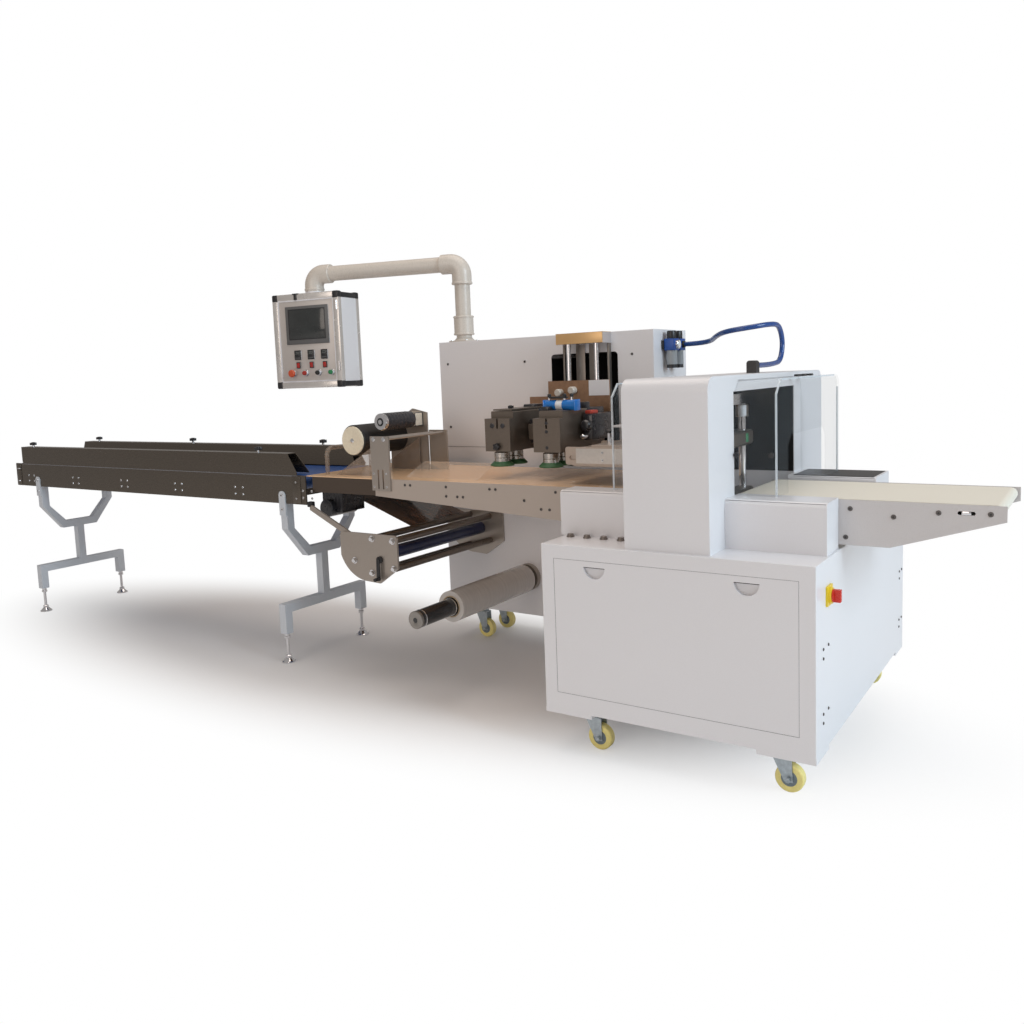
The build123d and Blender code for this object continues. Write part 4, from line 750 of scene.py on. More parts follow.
class WRAPPER_OT_finishes(bpy.types.Operator):
    """Give every carried-over piece its paint, steel, rubber, belt or clear sheet"""
    bl_idname = "wrapper.finishes"
    bl_label = "Finishes"

    def execute(self, context):
        colours = context.scene.wrapper_colours
        paint = sheet_paint()
        outfeed_belt = finish("Cream belt", (0.80, 0.76, 0.66), roughness=0.55, scale=500.0,
                              contrast=0.05, bump=0.1)
        infeed_belt = finish("Blue belt", (0.02, 0.07, 0.24), roughness=0.45, scale=400.0,
                             contrast=0.2, bump=0.15)
        wheel = finish("Caster tread", tuple(colours.caster_wheel), roughness=0.35, scale=160.0,
                       contrast=0.06, bump=0.05)
        yellow = finish("Switch yellow", (0.85, 0.62, 0.02), roughness=0.3, scale=300.0,
                        contrast=0.04)
        red = finish("Switch red", (0.62, 0.03, 0.015), roughness=0.28, scale=300.0)
        dark = finish("Button steel", (0.24, 0.21, 0.19), metallic=0.7, roughness=0.3, scale=200.0,
                      contrast=0.12)
        rubber = finish("Feed rubber", (0.012, 0.022, 0.075), roughness=0.3, grain=(1, 4, 1),
                        scale=50.0, contrast=0.08, bump=0.01, coat=0.25)
        roller = finish("Guide roller", (0.20, 0.17, 0.145), metallic=0.85, roughness=0.25,
                        grain=(1, 4, 1), scale=50.0, contrast=0.05)
        rollers = by_place("Feed rollers", rubber, roller, (0.370, 0.0, 0.610), (1, 0, 1), 0.036)
        # The outfeed frame's grey is darker than the cabinet paint: painted shade on its side
        # plates
        shaded_outfeed_paint = finish("Outfeed paint with painted shade", (0.60, 0.575, 0.57), roughness=0.3, scale=300.0,
                     contrast=0.02)
        stand = finish("Stand paint", (0.60, 0.645, 0.70), roughness=0.35, scale=300.0,
                       contrast=0.02)
        lead = finish("Lead steel", (0.10, 0.075, 0.058), metallic=0.6, roughness=0.35,
                      grain=(1, 20, 20), scale=30.0, contrast=0.05)
        # The table frame's white paint is given a darker, warmer tone: painted shade under the
        # table top
        shaded_table_paint = finish("Table paint with painted shade", (0.45, 0.385, 0.335), roughness=0.33, scale=420.0,
                      contrast=0.015)
        table = by_place("Table frame", shaded_table_paint, lead, (1.292, 0.0, 0.9), (1, 0, 0), 1.0)
        former = finish("Former sheet", (0.36, 0.29, 0.235), roughness=0.08, scale=12.0,
                        contrast=0.15, bump=0.01, alpha=0.45)
        shaft = finish("Shaft enamel", (0.014, 0.014, 0.016), roughness=0.18, grain=(1, 10, 1),
                       scale=20.0, contrast=0.1, bump=0.01, coat=0.4)
        groups = {
            paint: ("base_cabinet", "front_panel", "tower_body", "tower_cover", "gantry",
                    "deck_covers", "operator_box"),
            shaded_outfeed_paint: ("outfeed_frame",),
            stand: ("stand_frames",),
            table: ("table_frame",),
            infeed_steel(): ("infeed_frame", "infeed_guard_rails"),
            table_steel(): ("table_top",),
            aluminium(): ("film_arch", "unwinder_frame"),
            machined_steel(): ("seal_heads", "upper_jaw", "lower_jaw"),
            press_steel(): ("press_unit",),
            brown_plate(): ("seal_carriage",),
            chrome(): ("belt_rollers", "levelling_feet", "jaw_rails", "jaw_carriage",
                       "slide_frame"),
            clear_sheet(): ("clear_guards",),
            former: ("film_former",),
            clear_film(): ("film_web",),
            cream_pipe(): ("arm_base", "arm_pipe"),
            black_plastic(): ("air_unit", "hose_gland"),
            dark_paint(): ("drive_motors",),
            black_rubber(): ("film_drum",),
            outfeed_belt: ("outfeed_belt",),
            infeed_belt: ("infeed_belt",),
            yellow: ("switch_plate",),
            red: ("switch_knob",),
            dark: ("deck_buttons",),
            rollers: ("feeder_rollers",),
            shaft: ("film_shaft",),
            wound_film(): ("film_roll",),
            dull_steel(): tuple("caster_fork_" + name for name in CASTERS),
            wheel: tuple("caster_wheel_" + name for name in CASTERS),
        }
        for material, names in groups.items():
            for name in names:
                paint_node(name, material)
        return {"FINISHED"}


class WRAPPER_OT_sheet_screws(bpy.types.Operator):
    """Set the socket screws on the tower, the cabinet, the conveyors, the table and the arch"""
    bl_idname = "wrapper.sheet_screws"
    bl_label = "Sheet screws"

    def execute(self, context):
        burnt = finish("Burnished screw", (0.13, 0.12, 0.115), metallic=0.8, roughness=0.35,
                       scale=200.0)
        tower = [((x, TOWER_FRONT, z), FRONT) for x, z in
                 ((0.198, 1.458), (0.673, 1.453), (0.199, 1.132), (1.255, 1.465), (0.60, 1.10))]
        screw_set("Tower_screws", tower, "machine", head=burnt)
        spots = [(y, z) for y in (-0.605, -0.545, 0.60, 0.65) for z in (0.500, 0.290)]
        spots += [(y, z) for y in (-0.605, 0.60) for z in (0.470, 0.260)]
        spots += [(0.62, z) for z in (0.70, 0.66)]
        side = [((CABINET_END, y, z), ALONG) for y, z in spots]
        screw_set("Cabinet_screws", side, "machine", radius=0.005, head=burnt)
        infeed = []
        for pair in range(6):
            x = -2.68 + pair * 0.5
            for y, facing in SIDE_PLATES:
                infeed += [((x + dx, y, z), facing) for dx in (0, 0.06) for z in (0.87, 0.835)]
        screw_set("Infeed_screws", infeed, "machine")
        outfeed = [((x, y, z), facing) for y, facing in SIDE_PLATES for x, z in
                   ((2.372, 0.915), (2.358, 0.820), (2.505, 0.895), (2.636, 0.915), (2.78, 0.918))]
        screw_set("Outfeed_screws", outfeed, "machine", radius=0.008, head=burnt)
        rows = ((0.922, (0.47, 0.50, 0.70, 0.93, 0.96, 1.25, 1.28)),
                (0.882, (0.70, 0.76, 0.79, 1.10)), (0.850, (1.18, 1.22)))
        table = [((x, PLATE_FRONT, z), FRONT) for z, row in rows for x in row]
        screw_set("Table_screws", table, "machine", radius=0.006, head=burnt)
        arch = [((x, PLATE_FRONT - 0.010, z), FRONT) for x in (0.298, 0.372) for z in (0.91, 0.97)]
        screw_set("Arch_screws", arch, "machine", radius=0.005)
        return {"FINISHED"}


class WRAPPER_OT_cabinet(bpy.types.Operator):
    """Lay the seams of the front panel and the tower, paint shade into the pulls and window, and
    line the gantry with dark plates and painted shade
    """
    bl_idname = "wrapper.cabinet"
    bl_label = "Cabinet seams"

    def execute(self, context):
        seams = Shell()
        shade = seam_shadow()
        low, high = ends_of(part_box("front_panel"))
        y, wide = low.y + 0.0001, 0.001
        for x0, x1, z0, z1 in ((low.x - wide, high.x + wide, high.z, high.z + wide),
                               (low.x - wide, high.x + wide, low.z - wide, low.z),
                               (low.x - wide, low.x, low.z, high.z),
                               (high.x, high.x + wide, low.z, high.z)):
            seams.block((x0, y, z0), (x1, y + 0.0012, z1), shade, edge=0)
        seams.block((0.147, 0.3172, 1.0285), (1.360, 0.3184, 1.0305), shade, edge=0)
        seams.piece("Sheet_seams", "machine")

        # Thin near-black strips in the finger pulls: painted shade in their recesses
        pulls = [((x - 0.0415, low.y + 0.0006, 0.7056), (x + 0.0415, low.y + 0.003, 0.7079))
                 for x in PULL_XS]
        # Near-black sheets on the back, sides, top and bottom of the window pocket: painted shade
        # inside the tower
        left, right, bottom, top, front, rear = WINDOW
        window = [((left + 0.001, rear - 0.0016, bottom + 0.001),
                   (right - 0.001, rear - 0.0006, top - 0.001))]
        window += [((x, front, bottom + 0.018), (x + 0.0008, rear - 0.002, top - 0.018))
                   for x in (left + 0.0003, right - 0.0011)]
        window += [((left + 0.018, front, z), (right - 0.018, rear - 0.002, z + 0.0008))
                   for z in (bottom + 0.0003, top - 0.0011)]
        # Near-black sheets on the gantry bay's two inner walls and its roof: its dark plates
        # together with painted shade
        low, high = ends_of(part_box("gantry"))
        opening = [((low.x + 0.003, y, 0.956), (high.x - 0.003, y + 0.0008, 1.304))
                   for y in (-0.4297, 0.2689)]
        opening += [((low.x + 0.003, -0.428, 1.3051), (high.x - 0.003, 0.268, 1.3058))]
        shade_lining = Shell()
        for start, end in pulls + window + opening:
            shade_lining.block(start, end, dark_lining_and_painted_shade(), edge=0)
        shade_lining.piece("Linings_and_painted_shade", "machine")
        return {"FINISHED"}


class WRAPPER_OT_casters(bpy.types.Operator):
    """Add hubs, axle nuts, swivel bearings and brake pedals to the casters"""
    bl_idname = "wrapper.casters"
    bl_label = "Caster fittings"

    def execute(self, context):
        zinc = dull_steel()
        hub_paint = finish("Caster hub", (0.16, 0.20, 0.22), roughness=0.4, scale=120.0,
                           contrast=0.12)
        pedal = finish("Brake pedal", (0.55, 0.04, 0.03), roughness=0.4, scale=200.0)
        for name in CASTERS:
            low, high = ends_of(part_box("caster_wheel_" + name))
            centre = (low + high) / 2
            half = (high.y - low.y) / 2
            hub = Shell()
            for side in (-1, 1):
                hub.turned(centre + Vector((0, side * (half - 0.004), 0)), (0, side, 0),
                           ring_profile(0.0066, 0.027, 0, 0.0045), hub_paint)
                hub.turned(centre + Vector((0, side * (half - 0.003), 0)), (0, side, 0),
                           ring_profile(0.0066, 0.013, 0, 0.0046), zinc)
            hub.piece("Hub_" + name, "wheel_" + name)
            fork_low, fork_high = ends_of(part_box("caster_fork_" + name))
            stem_x, top = centre.x - 0.030, fork_high.z
            fork = Shell()
            for side in (-1, 1):
                reach = fork_low.y if side < 0 else fork_high.y
                fork.turned((centre.x, reach - side * 0.0005, centre.z), (0, side, 0),
                            cap_profile(0.0095, 0.004, 0.007, 0.0055), zinc, segments=HEXAGON)
            fork.turned((stem_x, centre.y, top - 0.0195), UP,
                        ring_profile(0.02, 0.0345, 0, 0.007, edge=0.0025), zinc)
            fork.block((stem_x - 0.062, centre.y - 0.016, top - 0.027),
                       (stem_x - 0.030, centre.y + 0.016, top - 0.0195), pedal,
                       turn=Matrix.Rotation(radians(-12), 3, "Y"))
            fork.piece("Caster_bolts_" + name, "swivel_" + name)
        return {"FINISHED"}


class WRAPPER_OT_controls(bpy.types.Operator):
    """Dress the operator box: profile frame, corner caps, face plate, screen and controls"""
    bl_idname = "wrapper.controls"
    bl_label = "Operator box"

    def execute(self, context):
        middle_x, face_y, bottom, top = BOX_POLE[0], BOX_FACE, BOX_BOTTOM, BOX_TOP
        left, right, rear = middle_x - BOX_HALF, middle_x + BOX_HALF, face_y + BOX_DEPTH
        black = black_plastic()
        metal = finish("Frame profile", (0.72, 0.69, 0.66), metallic=0.6, roughness=0.25,
                       scale=30.0, contrast=0.02, bump=0.0)
        plate = finish("Face plate", (0.60, 0.555, 0.52), metallic=0.3, roughness=0.4,
                       scale=120.0, contrast=0.02, bump=0.01)
        box = Shell()
        profile, proud = 0.034, 0.0012
        for low_x, high_x, low_z, high_z in (
                (left + 0.030, right - 0.030, top - profile, top + proud),
                (left + 0.030, right - 0.030, bottom - proud, bottom + profile),
                (left - proud, left + profile, bottom + 0.030, top - 0.030),
                (right - profile, right + proud, bottom + 0.030, top - 0.030)):
            for y0, y1 in ((face_y - proud, face_y + 0.030), (rear - 0.030, rear + proud)):
                box.block((low_x, y0, low_z), (high_x, y1, high_z), metal, edge=0.0035)
        for x in (left, right):
            for z in (bottom, top):
                reach_x = 0.036 if x == left else -0.036
                reach_z = 0.036 if z == bottom else -0.036
                low_x, low_z = min(x, x + reach_x) - 0.002, min(z, z + reach_z) - 0.002
                high_x, high_z = max(x, x + reach_x) + 0.002, max(z, z + reach_z) + 0.002
                edge_x = left - 0.0015 if x == left else right - 0.014
                box.block((low_x, face_y - 0.003, low_z), (high_x, face_y + 0.034, high_z), black,
                          edge=0.007)
                box.block((low_x, rear - 0.034, low_z), (high_x, rear + 0.003, high_z), black,
                          edge=0.007)
                box.block((edge_x, face_y + 0.02, low_z + 0.004),
                          (edge_x + 0.0155, rear - 0.02, low_z + 0.034), black, edge=0.005)
        for z in (top - 0.0005, bottom - 0.0006):
            box.block((left + 0.03, face_y + 0.03, z), (right - 0.03, rear - 0.03, z + 0.0011),
                      sheet_paint(), edge=0)
        for x in (left - 0.0006, right - 0.0005):
            box.block((x, face_y + 0.028, bottom + 0.034), (x + 0.0011, rear - 0.028, top - 0.034),
                      sheet_paint(), edge=0)
        inner = face_y + 0.005
        box.block((left + 0.036, inner - 0.0022, bottom + 0.036),
                  (right - 0.036, inner, top - 0.036), plate, edge=0.001)
        box.turned_about(BOX_POLE, BOX_YAW)
        box.piece("Operator_box_frame", "operator_box")

        face = Shell()
        grey = finish("Screen bezel", (0.12, 0.12, 0.12), roughness=0.45, scale=260.0)
        glass = finish("Screen glass", (0.022, 0.026, 0.026), roughness=0.12, scale=9.0,
                       contrast=0.25, coat=0.6)
        display = finish("Display", (0.16, 0.17, 0.16), roughness=0.4, contrast=0.05)
        rocker = finish("Rocker red", (0.45, 0.02, 0.015), roughness=0.25, scale=200.0,
                        contrast=0.08)
        x0, z0 = middle_x + SCREEN_SHIFT - SCREEN_HALF, bottom + SCREEN_LOW
        x1, z1 = middle_x + SCREEN_SHIFT + SCREEN_HALF, bottom + SCREEN_HIGH
        face.block((x0 - 0.001, inner - 0.0095, z0 - 0.001),
                   (x1 + 0.001, inner - 0.004, z1 + 0.001), grey, edge=0.0028)
        face.block((x0 + 0.024, inner - 0.0102, z0 + 0.030),
                   (x1 - 0.024, inner - 0.009, z1 - 0.020), glass, edge=0.0004)
        face.block((x0 + 0.018, inner - 0.0098, z0 + 0.024),
                   (x1 - 0.018, inner - 0.009, z1 - 0.014), black, edge=0.0004)
        for number in range(3):
            x = middle_x + CONTROLLER_SHIFT + (number - 1) * CONTROLLER_PITCH
            face.block((x - 0.0215, inner - 0.0115, bottom + 0.1565),
                       (x + 0.0215, inner - 0.006, bottom + 0.2095), black, edge=0.0022)
            face.block((x - 0.017, inner - 0.0122, bottom + 0.184),
                       (x + 0.017, inner - 0.0112, bottom + 0.204), glass, edge=0.0003)
            for row in (0.197, 0.189):
                for digit in range(3):
                    digit_x, digit_z = x - 0.010 + digit * 0.0075, bottom + row
                    face.block((digit_x, inner - 0.0126, digit_z),
                               (digit_x + 0.0045, inner - 0.0121, digit_z + 0.0045), display,
                               edge=0)
            for key in range(4):
                key_x = x - 0.0145 + key * 0.0082
                face.block((key_x, inner - 0.0128, bottom + 0.163),
                           (key_x + 0.0055, inner - 0.0112, bottom + 0.170), grey, edge=0.0005)
            face.block((x - 0.0135, inner - 0.0095, bottom + 0.1085),
                       (x + 0.0135, inner - 0.006, bottom + 0.1435), black, edge=0.0012)
            face.block((x - 0.0095, inner - 0.0115, bottom + 0.1125),
                       (x + 0.0095, inner - 0.0085, bottom + 0.1395), rocker, edge=0.0012,
                       turn=Matrix.Rotation(radians(7), 3, "X"))
        tones = {"Stop red": (0.62, 0.09, 0.03), "Button red": (0.4, 0.03, 0.02),
                 "Button black": (0.02, 0.02, 0.02), "Button green": (0.02, 0.22, 0.08)}
        level = bottom + BUTTON_LEVEL
        for number, (label, tone) in enumerate(tones.items()):
            x = middle_x + BUTTON_SHIFT + (number - 1.5) * BUTTON_PITCH
            cap = finish(label, tone, roughness=0.28, scale=200.0)
            big = 0.021 if label == "Stop red" else 0.0125
            face.turned((x, inner, level), FRONT, ring_profile(0.0108, 0.0175, 0, 0.006, 0.0015),
                        chrome())
            face.turned((x, inner - 0.021, level), FRONT,
                        [(0, -0.004), (big, -0.004), (big, 0.004), (big * 0.85, 0.008),
                         (0, 0.0095)], cap)
        face.turned_about(BOX_POLE, BOX_YAW)
        face.piece("Operator_box_controls", "operator_box")

        latch = Shell()
        latch.block((left + 0.150, face_y - 0.006, top - 0.034),
                    (left + 0.168, face_y + 0.004, top + 0.002), black, edge=0.003)
        latch.block((left + 0.140, face_y - 0.003, top - 0.004),
                    (left + 0.178, face_y + 0.016, top + 0.003), black, edge=0.001)
        for z in (bottom + 0.09, top - 0.10):
            latch.rod((right - 0.012, face_y - 0.003, z), UP, 0.006, 0.05, chrome())
        latch.turned_about(BOX_POLE, BOX_YAW)
        latch.piece("Operator_box_latch", "operator_box")
        return {"FINISHED"}


class WRAPPER_OT_arm(bpy.types.Operator):
    """Add the sockets' lips and the base bolts of the operator's arm"""
    bl_idname = "wrapper.arm"
    bl_label = "Arm lips"

    def execute(self, context):
        cream = cream_pipe()
        corner, tip = Vector((*ARM_POLE, ARM_Z)), Vector((*BOX_POLE, ARM_Z))
        along = (tip - corner).normalized()
        arm = Shell()
        for place, axis, reach in ((corner - Vector((0, 0, 0.105)), UP, 0.0555),
                                   (corner + along * 0.105, along, 0.0519),
                                   (tip - along * 0.105, along, 0.0519),
                                   (tip - Vector((0, 0, 0.082)), UP, 0.0555)):
            arm.turned(place - Vector(axis) * 0.006, axis,
                       ring_profile(PIPE_RADIUS, reach, 0, 0.013, 0.003), cream,
                       segments=LIP_TURNS)
        arm.piece("Arm_lips", "operator_arm")
        base = Shell()
        for z, depth in ((1.6125, 0.010), (1.7025, 0.0095)):
            base.turned((*ARM_POLE, z), UP, ring_profile(PIPE_RADIUS, 0.0555, 0, depth, 0.003),
                        cream, segments=LIP_TURNS)
        flare = [(PIPE_RADIUS, 0), (0.056, 0), (0.048, 0.008), (0.0412, 0.016),
                 (PIPE_RADIUS, 0.016), (PIPE_RADIUS, 0)]
        base.turned((*ARM_POLE, BASE_TOP), UP, flare, cream, segments=LIP_TURNS)
        base.piece("Arm_base_lips", "machine")
        x, y = ARM_POLE
        bolts = [((x + dx, y + dy, BASE_TOP), UP) for dx in (-0.048, 0.048)
                 for dy in (-0.048, 0.048)]
        screw_set("Arm_base_screws", bolts, "machine", radius=0.007)
        return {"FINISHED"}


class WRAPPER_OT_infeed(bpy.types.Operator):
    """Add the infeed conveyor's clamp knobs, end plates, seams and guard strips"""
    bl_idname = "wrapper.infeed"
    bl_label = "Infeed fittings"

    def execute(self, context):
        sizes = context.scene.wrapper_sizes
        knobs = Shell()
        for x, y in ((-2.62, -0.37), (-1.62, 0.078), (-0.50, -0.37), (-2.62, 0.078),
                     (-0.50, 0.078)):
            star_knob(knobs, (x, y, 1.0500), UP, sizes.knob_radius, black_plastic())
        knobs.piece("Infeed_knobs", "machine")
        trim = Shell()
        steel = infeed_steel()
        for y, side in ((PLATE_FRONT, -1), (PLATE_REAR, 1)):
            near, far = min(y, y + side * 0.003), max(y, y + side * 0.003)
            for x in (-2.822, -0.250):
                trim.block((x, near, 0.806), (x + 0.055, far, 0.94), steel, edge=0.001)
            near, far = min(y, y + side * 0.0015), max(y, y + side * 0.0015)
            trim.block((-2.74, near, 0.9385), (-0.215, far, 0.9425), seam_shadow(), edge=0)
        for y0, y1 in ((-0.3895, -0.3860), (0.0940, 0.0975)):
            trim.block((-2.730, y0, 0.9443), (-0.214, y1, 0.9548), steel, edge=0)
        trim.piece("Infeed_end_plates", "machine")
        tail = [((x, PLATE_FRONT - 0.003, z), FRONT) for x in (-2.80, -2.785, -0.225)
                for z in (0.83, 0.91)]
        screw_set("Infeed_end_screws", tail, "machine", radius=0.005)
        return {"FINISHED"}


class WRAPPER_OT_stands(bpy.types.Operator):
    """Bolt the stands to the infeed and turn the levelling feet's nuts"""
    bl_idname = "wrapper.stands"
    bl_label = "Stand bolts"

    def execute(self, context):
        bolts = []
        nuts = Shell()
        lower = [(0.0083, 0), (0.0155, 0), (0.0155, 0.010), (0.0135, 0.012), (0.0083, 0.012),
                 (0.0083, 0)]
        upper = [(0.0083, 0), (0.0145, 0), (0.0155, 0.002), (0.0155, 0.012), (0.0083, 0.013),
                 (0.0083, 0)]
        for x in STAND_XS:
            for y, side in ((PLATE_FRONT - 0.006, -1), (PLATE_REAR + 0.006, 1)):
                bolts += [((x, y, z), (0, side, 0)) for z in (0.842, 0.772)]
            for y in (LINE_Y - FOOT_OFFSET, LINE_Y + FOOT_OFFSET):
                nuts.turned((x, y, 0.026), UP, lower, chrome(), segments=HEXAGON)
                nuts.turned((x, y, 0.124), UP, upper, chrome(), segments=HEXAGON)
        nuts.piece("Levelling_nuts", "machine")
        screw_set("Stand_bolts", bolts, "machine", radius=0.0085, height=0.004)
        return {"FINISHED"}


class WRAPPER_OT_sealing_unit(bpy.types.Operator):
    """Dress the sealing unit: fin wheels, head fittings, clamps, cylinders and slide covers"""
    bl_idname = "wrapper.sealing_unit"
    bl_label = "Sealing unit"

    def execute(self, context):
        self.fin_wheels()
        fittings = Shell()
        self.heads(fittings)
        self.cylinder(fittings)
        self.drives(fittings)
        fittings.piece("Sealing_unit_fittings", "seal_carriage")
        self.slide_covers()
        return {"FINISHED"}

    @staticmethod
    def fin_wheels():
        """Turns the grooved wheels that nip the film: rubber rims under steel hubs."""
        green = finish("Green wheel rubber", (0.045, 0.13, 0.055), roughness=0.5, scale=90.0,
                       contrast=0.2, bump=0.12)
        silver = finish("Turned steel", (0.48, 0.45, 0.42), metallic=0.9, roughness=0.25,
                        grain=(1, 1, 10), scale=40.0, contrast=0.08, bump=0.02)
        rim = [(0, 0), (0.050, 0), (0.052, 0.002), (0.052, 0.006), (0.037, 0.020), (0.034, 0.020)]
        hub = [(0.034, 0.020), (0.034, 0.034), (0.0325, 0.036), (0.034, 0.038), (0.034, 0.058),
               (0.026, 0.0634), (0, 0.0634)]
        for number, x in enumerate(HEAD_XS, 1):
            for place, side in (("front", -1), ("rear", 1)):
                wheel = Shell()
                centre = (x, LINE_Y + side * 0.053, 1.0)
                wheel.turned(centre, UP, rim, green, segments=FINE_TURNS)
                wheel.turned(centre, UP, hub, silver, segments=FINE_TURNS)
                item = wheel.piece("Fin_wheel_%d_%s_turned" % (number, place),
                                   "fin_wheel_%d_%s" % (number, place))
                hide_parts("fin_wheel_%d_%s" % (number, place))

    @staticmethod
    def heads(fittings):
        """Adds the carriage's front strip and the screws and clamp knobs of both heads."""
        first, second = HEAD_XS
        dark = dark_paint()
        fittings.block((0.829, -0.190, 1.245), (0.926, 0.168, 1.2385), machined_steel(),
                       edge=0.001)
        button = [(0, -0.002), (0.010, -0.002), (0.011, 0.002), (0.009, 0.0045), (0, 0.005)]
        for x in (0.847, 0.902):
            fittings.turned((x, HEAD_FACE, 1.175), FRONT, button, dark)
        star_knob(fittings, (first, HEAD_FACE, 1.085), FRONT, 0.017, black_plastic(), stem=0.006)
        star_knob(fittings, (first, -0.12, 1.236), UP, 0.014, black_plastic(), stem=0.010)
        for z in (1.083, 1.150, 1.185):
            fittings.turned((second, HEAD_FACE, z), FRONT,
                            cap_profile(0.0075, 0.001, 0.0055, 0.0025, start=-0.001), dark)

    @staticmethod
    def cylinder(fittings):
        """Lays the blue air cylinder with its white band, end plates and three small valves."""
        blue = finish("Cylinder blue", (0.01, 0.17, 0.55), roughness=0.22, scale=120.0,
                      contrast=0.08, coat=0.4)
        white = finish("Cylinder band", (0.75, 0.76, 0.78), roughness=0.3, scale=150.0,
                       contrast=0.05)
        for start, end, reach, tone in ((0.000, 0.056, 0.0222, blue), (0.056, 0.088, 0.0219, white),
                                        (0.088, 0.149, 0.0222, blue)):
            fittings.turned((1.058, -0.120, 1.256), ALONG, ring_profile(0.0205, reach, start, end),
                            tone, segments=FINE_TURNS)
        for x in (1.054, 1.206):
            fittings.block((x, -0.1435, 1.2325), (x + 0.007, -0.0965, 1.2795), blue, edge=0.003)
        knob = [(0, 0), (0.0075, 0), (0.0085, 0.003), (0.0075, 0.013), (0, 0.015)]
        for x in (1.075, 1.150, 1.185):
            fittings.rod((x, -0.120, 1.276), UP, 0.0055, 0.016, chrome())
            fittings.turned((x, -0.120, 1.290), UP, knob, black_plastic())

    @staticmethod
    def drives(fittings):
        """Adds what stands between the heads and on the carriage: drives, housings and links."""
        dark = dark_paint()
        for x, z in ((0.930, 1.300), (1.002, 1.310)):
            fittings.turned((x, 0.2205, z), FRONT, cap_profile(0.017, 0.03, 0.014, 0.034),
                            cream_pipe())
        for x0, x1, y0, y1, z1 in ((1.066, 1.100, -0.175, -0.140, 1.252),
                                   (1.140, 1.172, 0.02, 0.06, 1.262),
                                   (0.850, 0.905, 0.02, 0.10, 1.256)):
            fittings.block((x0, y0, 1.234), (x1, y1, z1), dark, edge=0.003)
        fittings.block((1.081, 0.2190, 1.2835), (1.1855, 0.2199, 1.3535), sheet_paint(), edge=0)
        fittings.block((0.956, -0.10, 1.092), (1.044, 0.168, 1.196), dark, edge=0.006)
        fittings.block((0.968, -0.13, 1.110), (1.030, -0.10, 1.176), machined_steel(), edge=0.004)
        for z in (1.115, 1.160):
            fittings.rod((0.9395, -0.075, z), ALONG, 0.010, 0.117, chrome())
        fittings.block((1.190, -0.04, 1.100), (1.236, 0.164, 1.214), dark, edge=0.008)
        dome = [(0.024, 0), (0.024, 0.020), (0.018, 0.028), (0.008, 0.030), (0, 0.030)]
        fittings.turned((1.213, -0.04, 1.165), FRONT, dome, dark)
        spindle = [(0.010, 0), (0.010, 0.05), (0.007, 0.054), (0, 0.054)]
        fittings.turned((1.213, -0.040, 1.120), FRONT, spindle, chrome())
        red = finish("Red guard", (0.50, 0.05, 0.03), roughness=0.35, scale=160.0)
        fittings.block((1.196, -0.03, 1.2135), (1.228, 0.03, 1.228), red, edge=0.003)
        fittings.block((1.078, -0.135, 1.284), (1.160, -0.105, 1.2925), black_plastic(),
                       edge=0.004)
        for x in (0.815, 1.063):
            fittings.block((x, 0.02, 1.2055), (x + 0.118, 0.171, 1.2366), dark, edge=0.003)

    @staticmethod
    def slide_covers():
        """Caps the slide in tan and lines its cheeks and ribs in grey."""
        tan = finish("Slide cap", (0.70, 0.44, 0.20), metallic=0.4, roughness=0.3, scale=30.0,
                     contrast=0.02, bump=0.001, spread=0.01)
        grey = finish("Slide cheeks", (0.20, 0.175, 0.155), metallic=0.6, roughness=0.35,
                      scale=90.0, contrast=0.05, bump=0.01)
        low, high = ends_of(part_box("slide_frame"))
        foot, head = 1.041, 1.5205
        cap = Shell()
        cap.block((low.x - 0.0005, low.y - 0.001, high.z - 0.049),
                  (high.x + 0.0005, low.y + 0.004, high.z + 0.0003), tan, edge=0.001)
        cap.block((low.x - 0.0005, low.y - 0.001, high.z - 0.0012),
                  (high.x + 0.0005, high.y - 0.001, high.z + 0.0004), tan, edge=0)
        for x0, x1 in ((low.x - 0.0004, low.x + 0.0086), (high.x - 0.0086, high.x + 0.0004)):
            cap.block((x0, high.y - 0.0268, foot), (x1, high.y - 0.001, head), grey, edge=0.001)
        for x in (low.x + 0.063, low.x + 0.133):
            cap.block((x - 0.0005, high.y - 0.0128, foot), (x + 0.0475, high.y - 0.010, head),
                      grey, edge=0.001)
        cap.piece("Slide_covers", "machine")


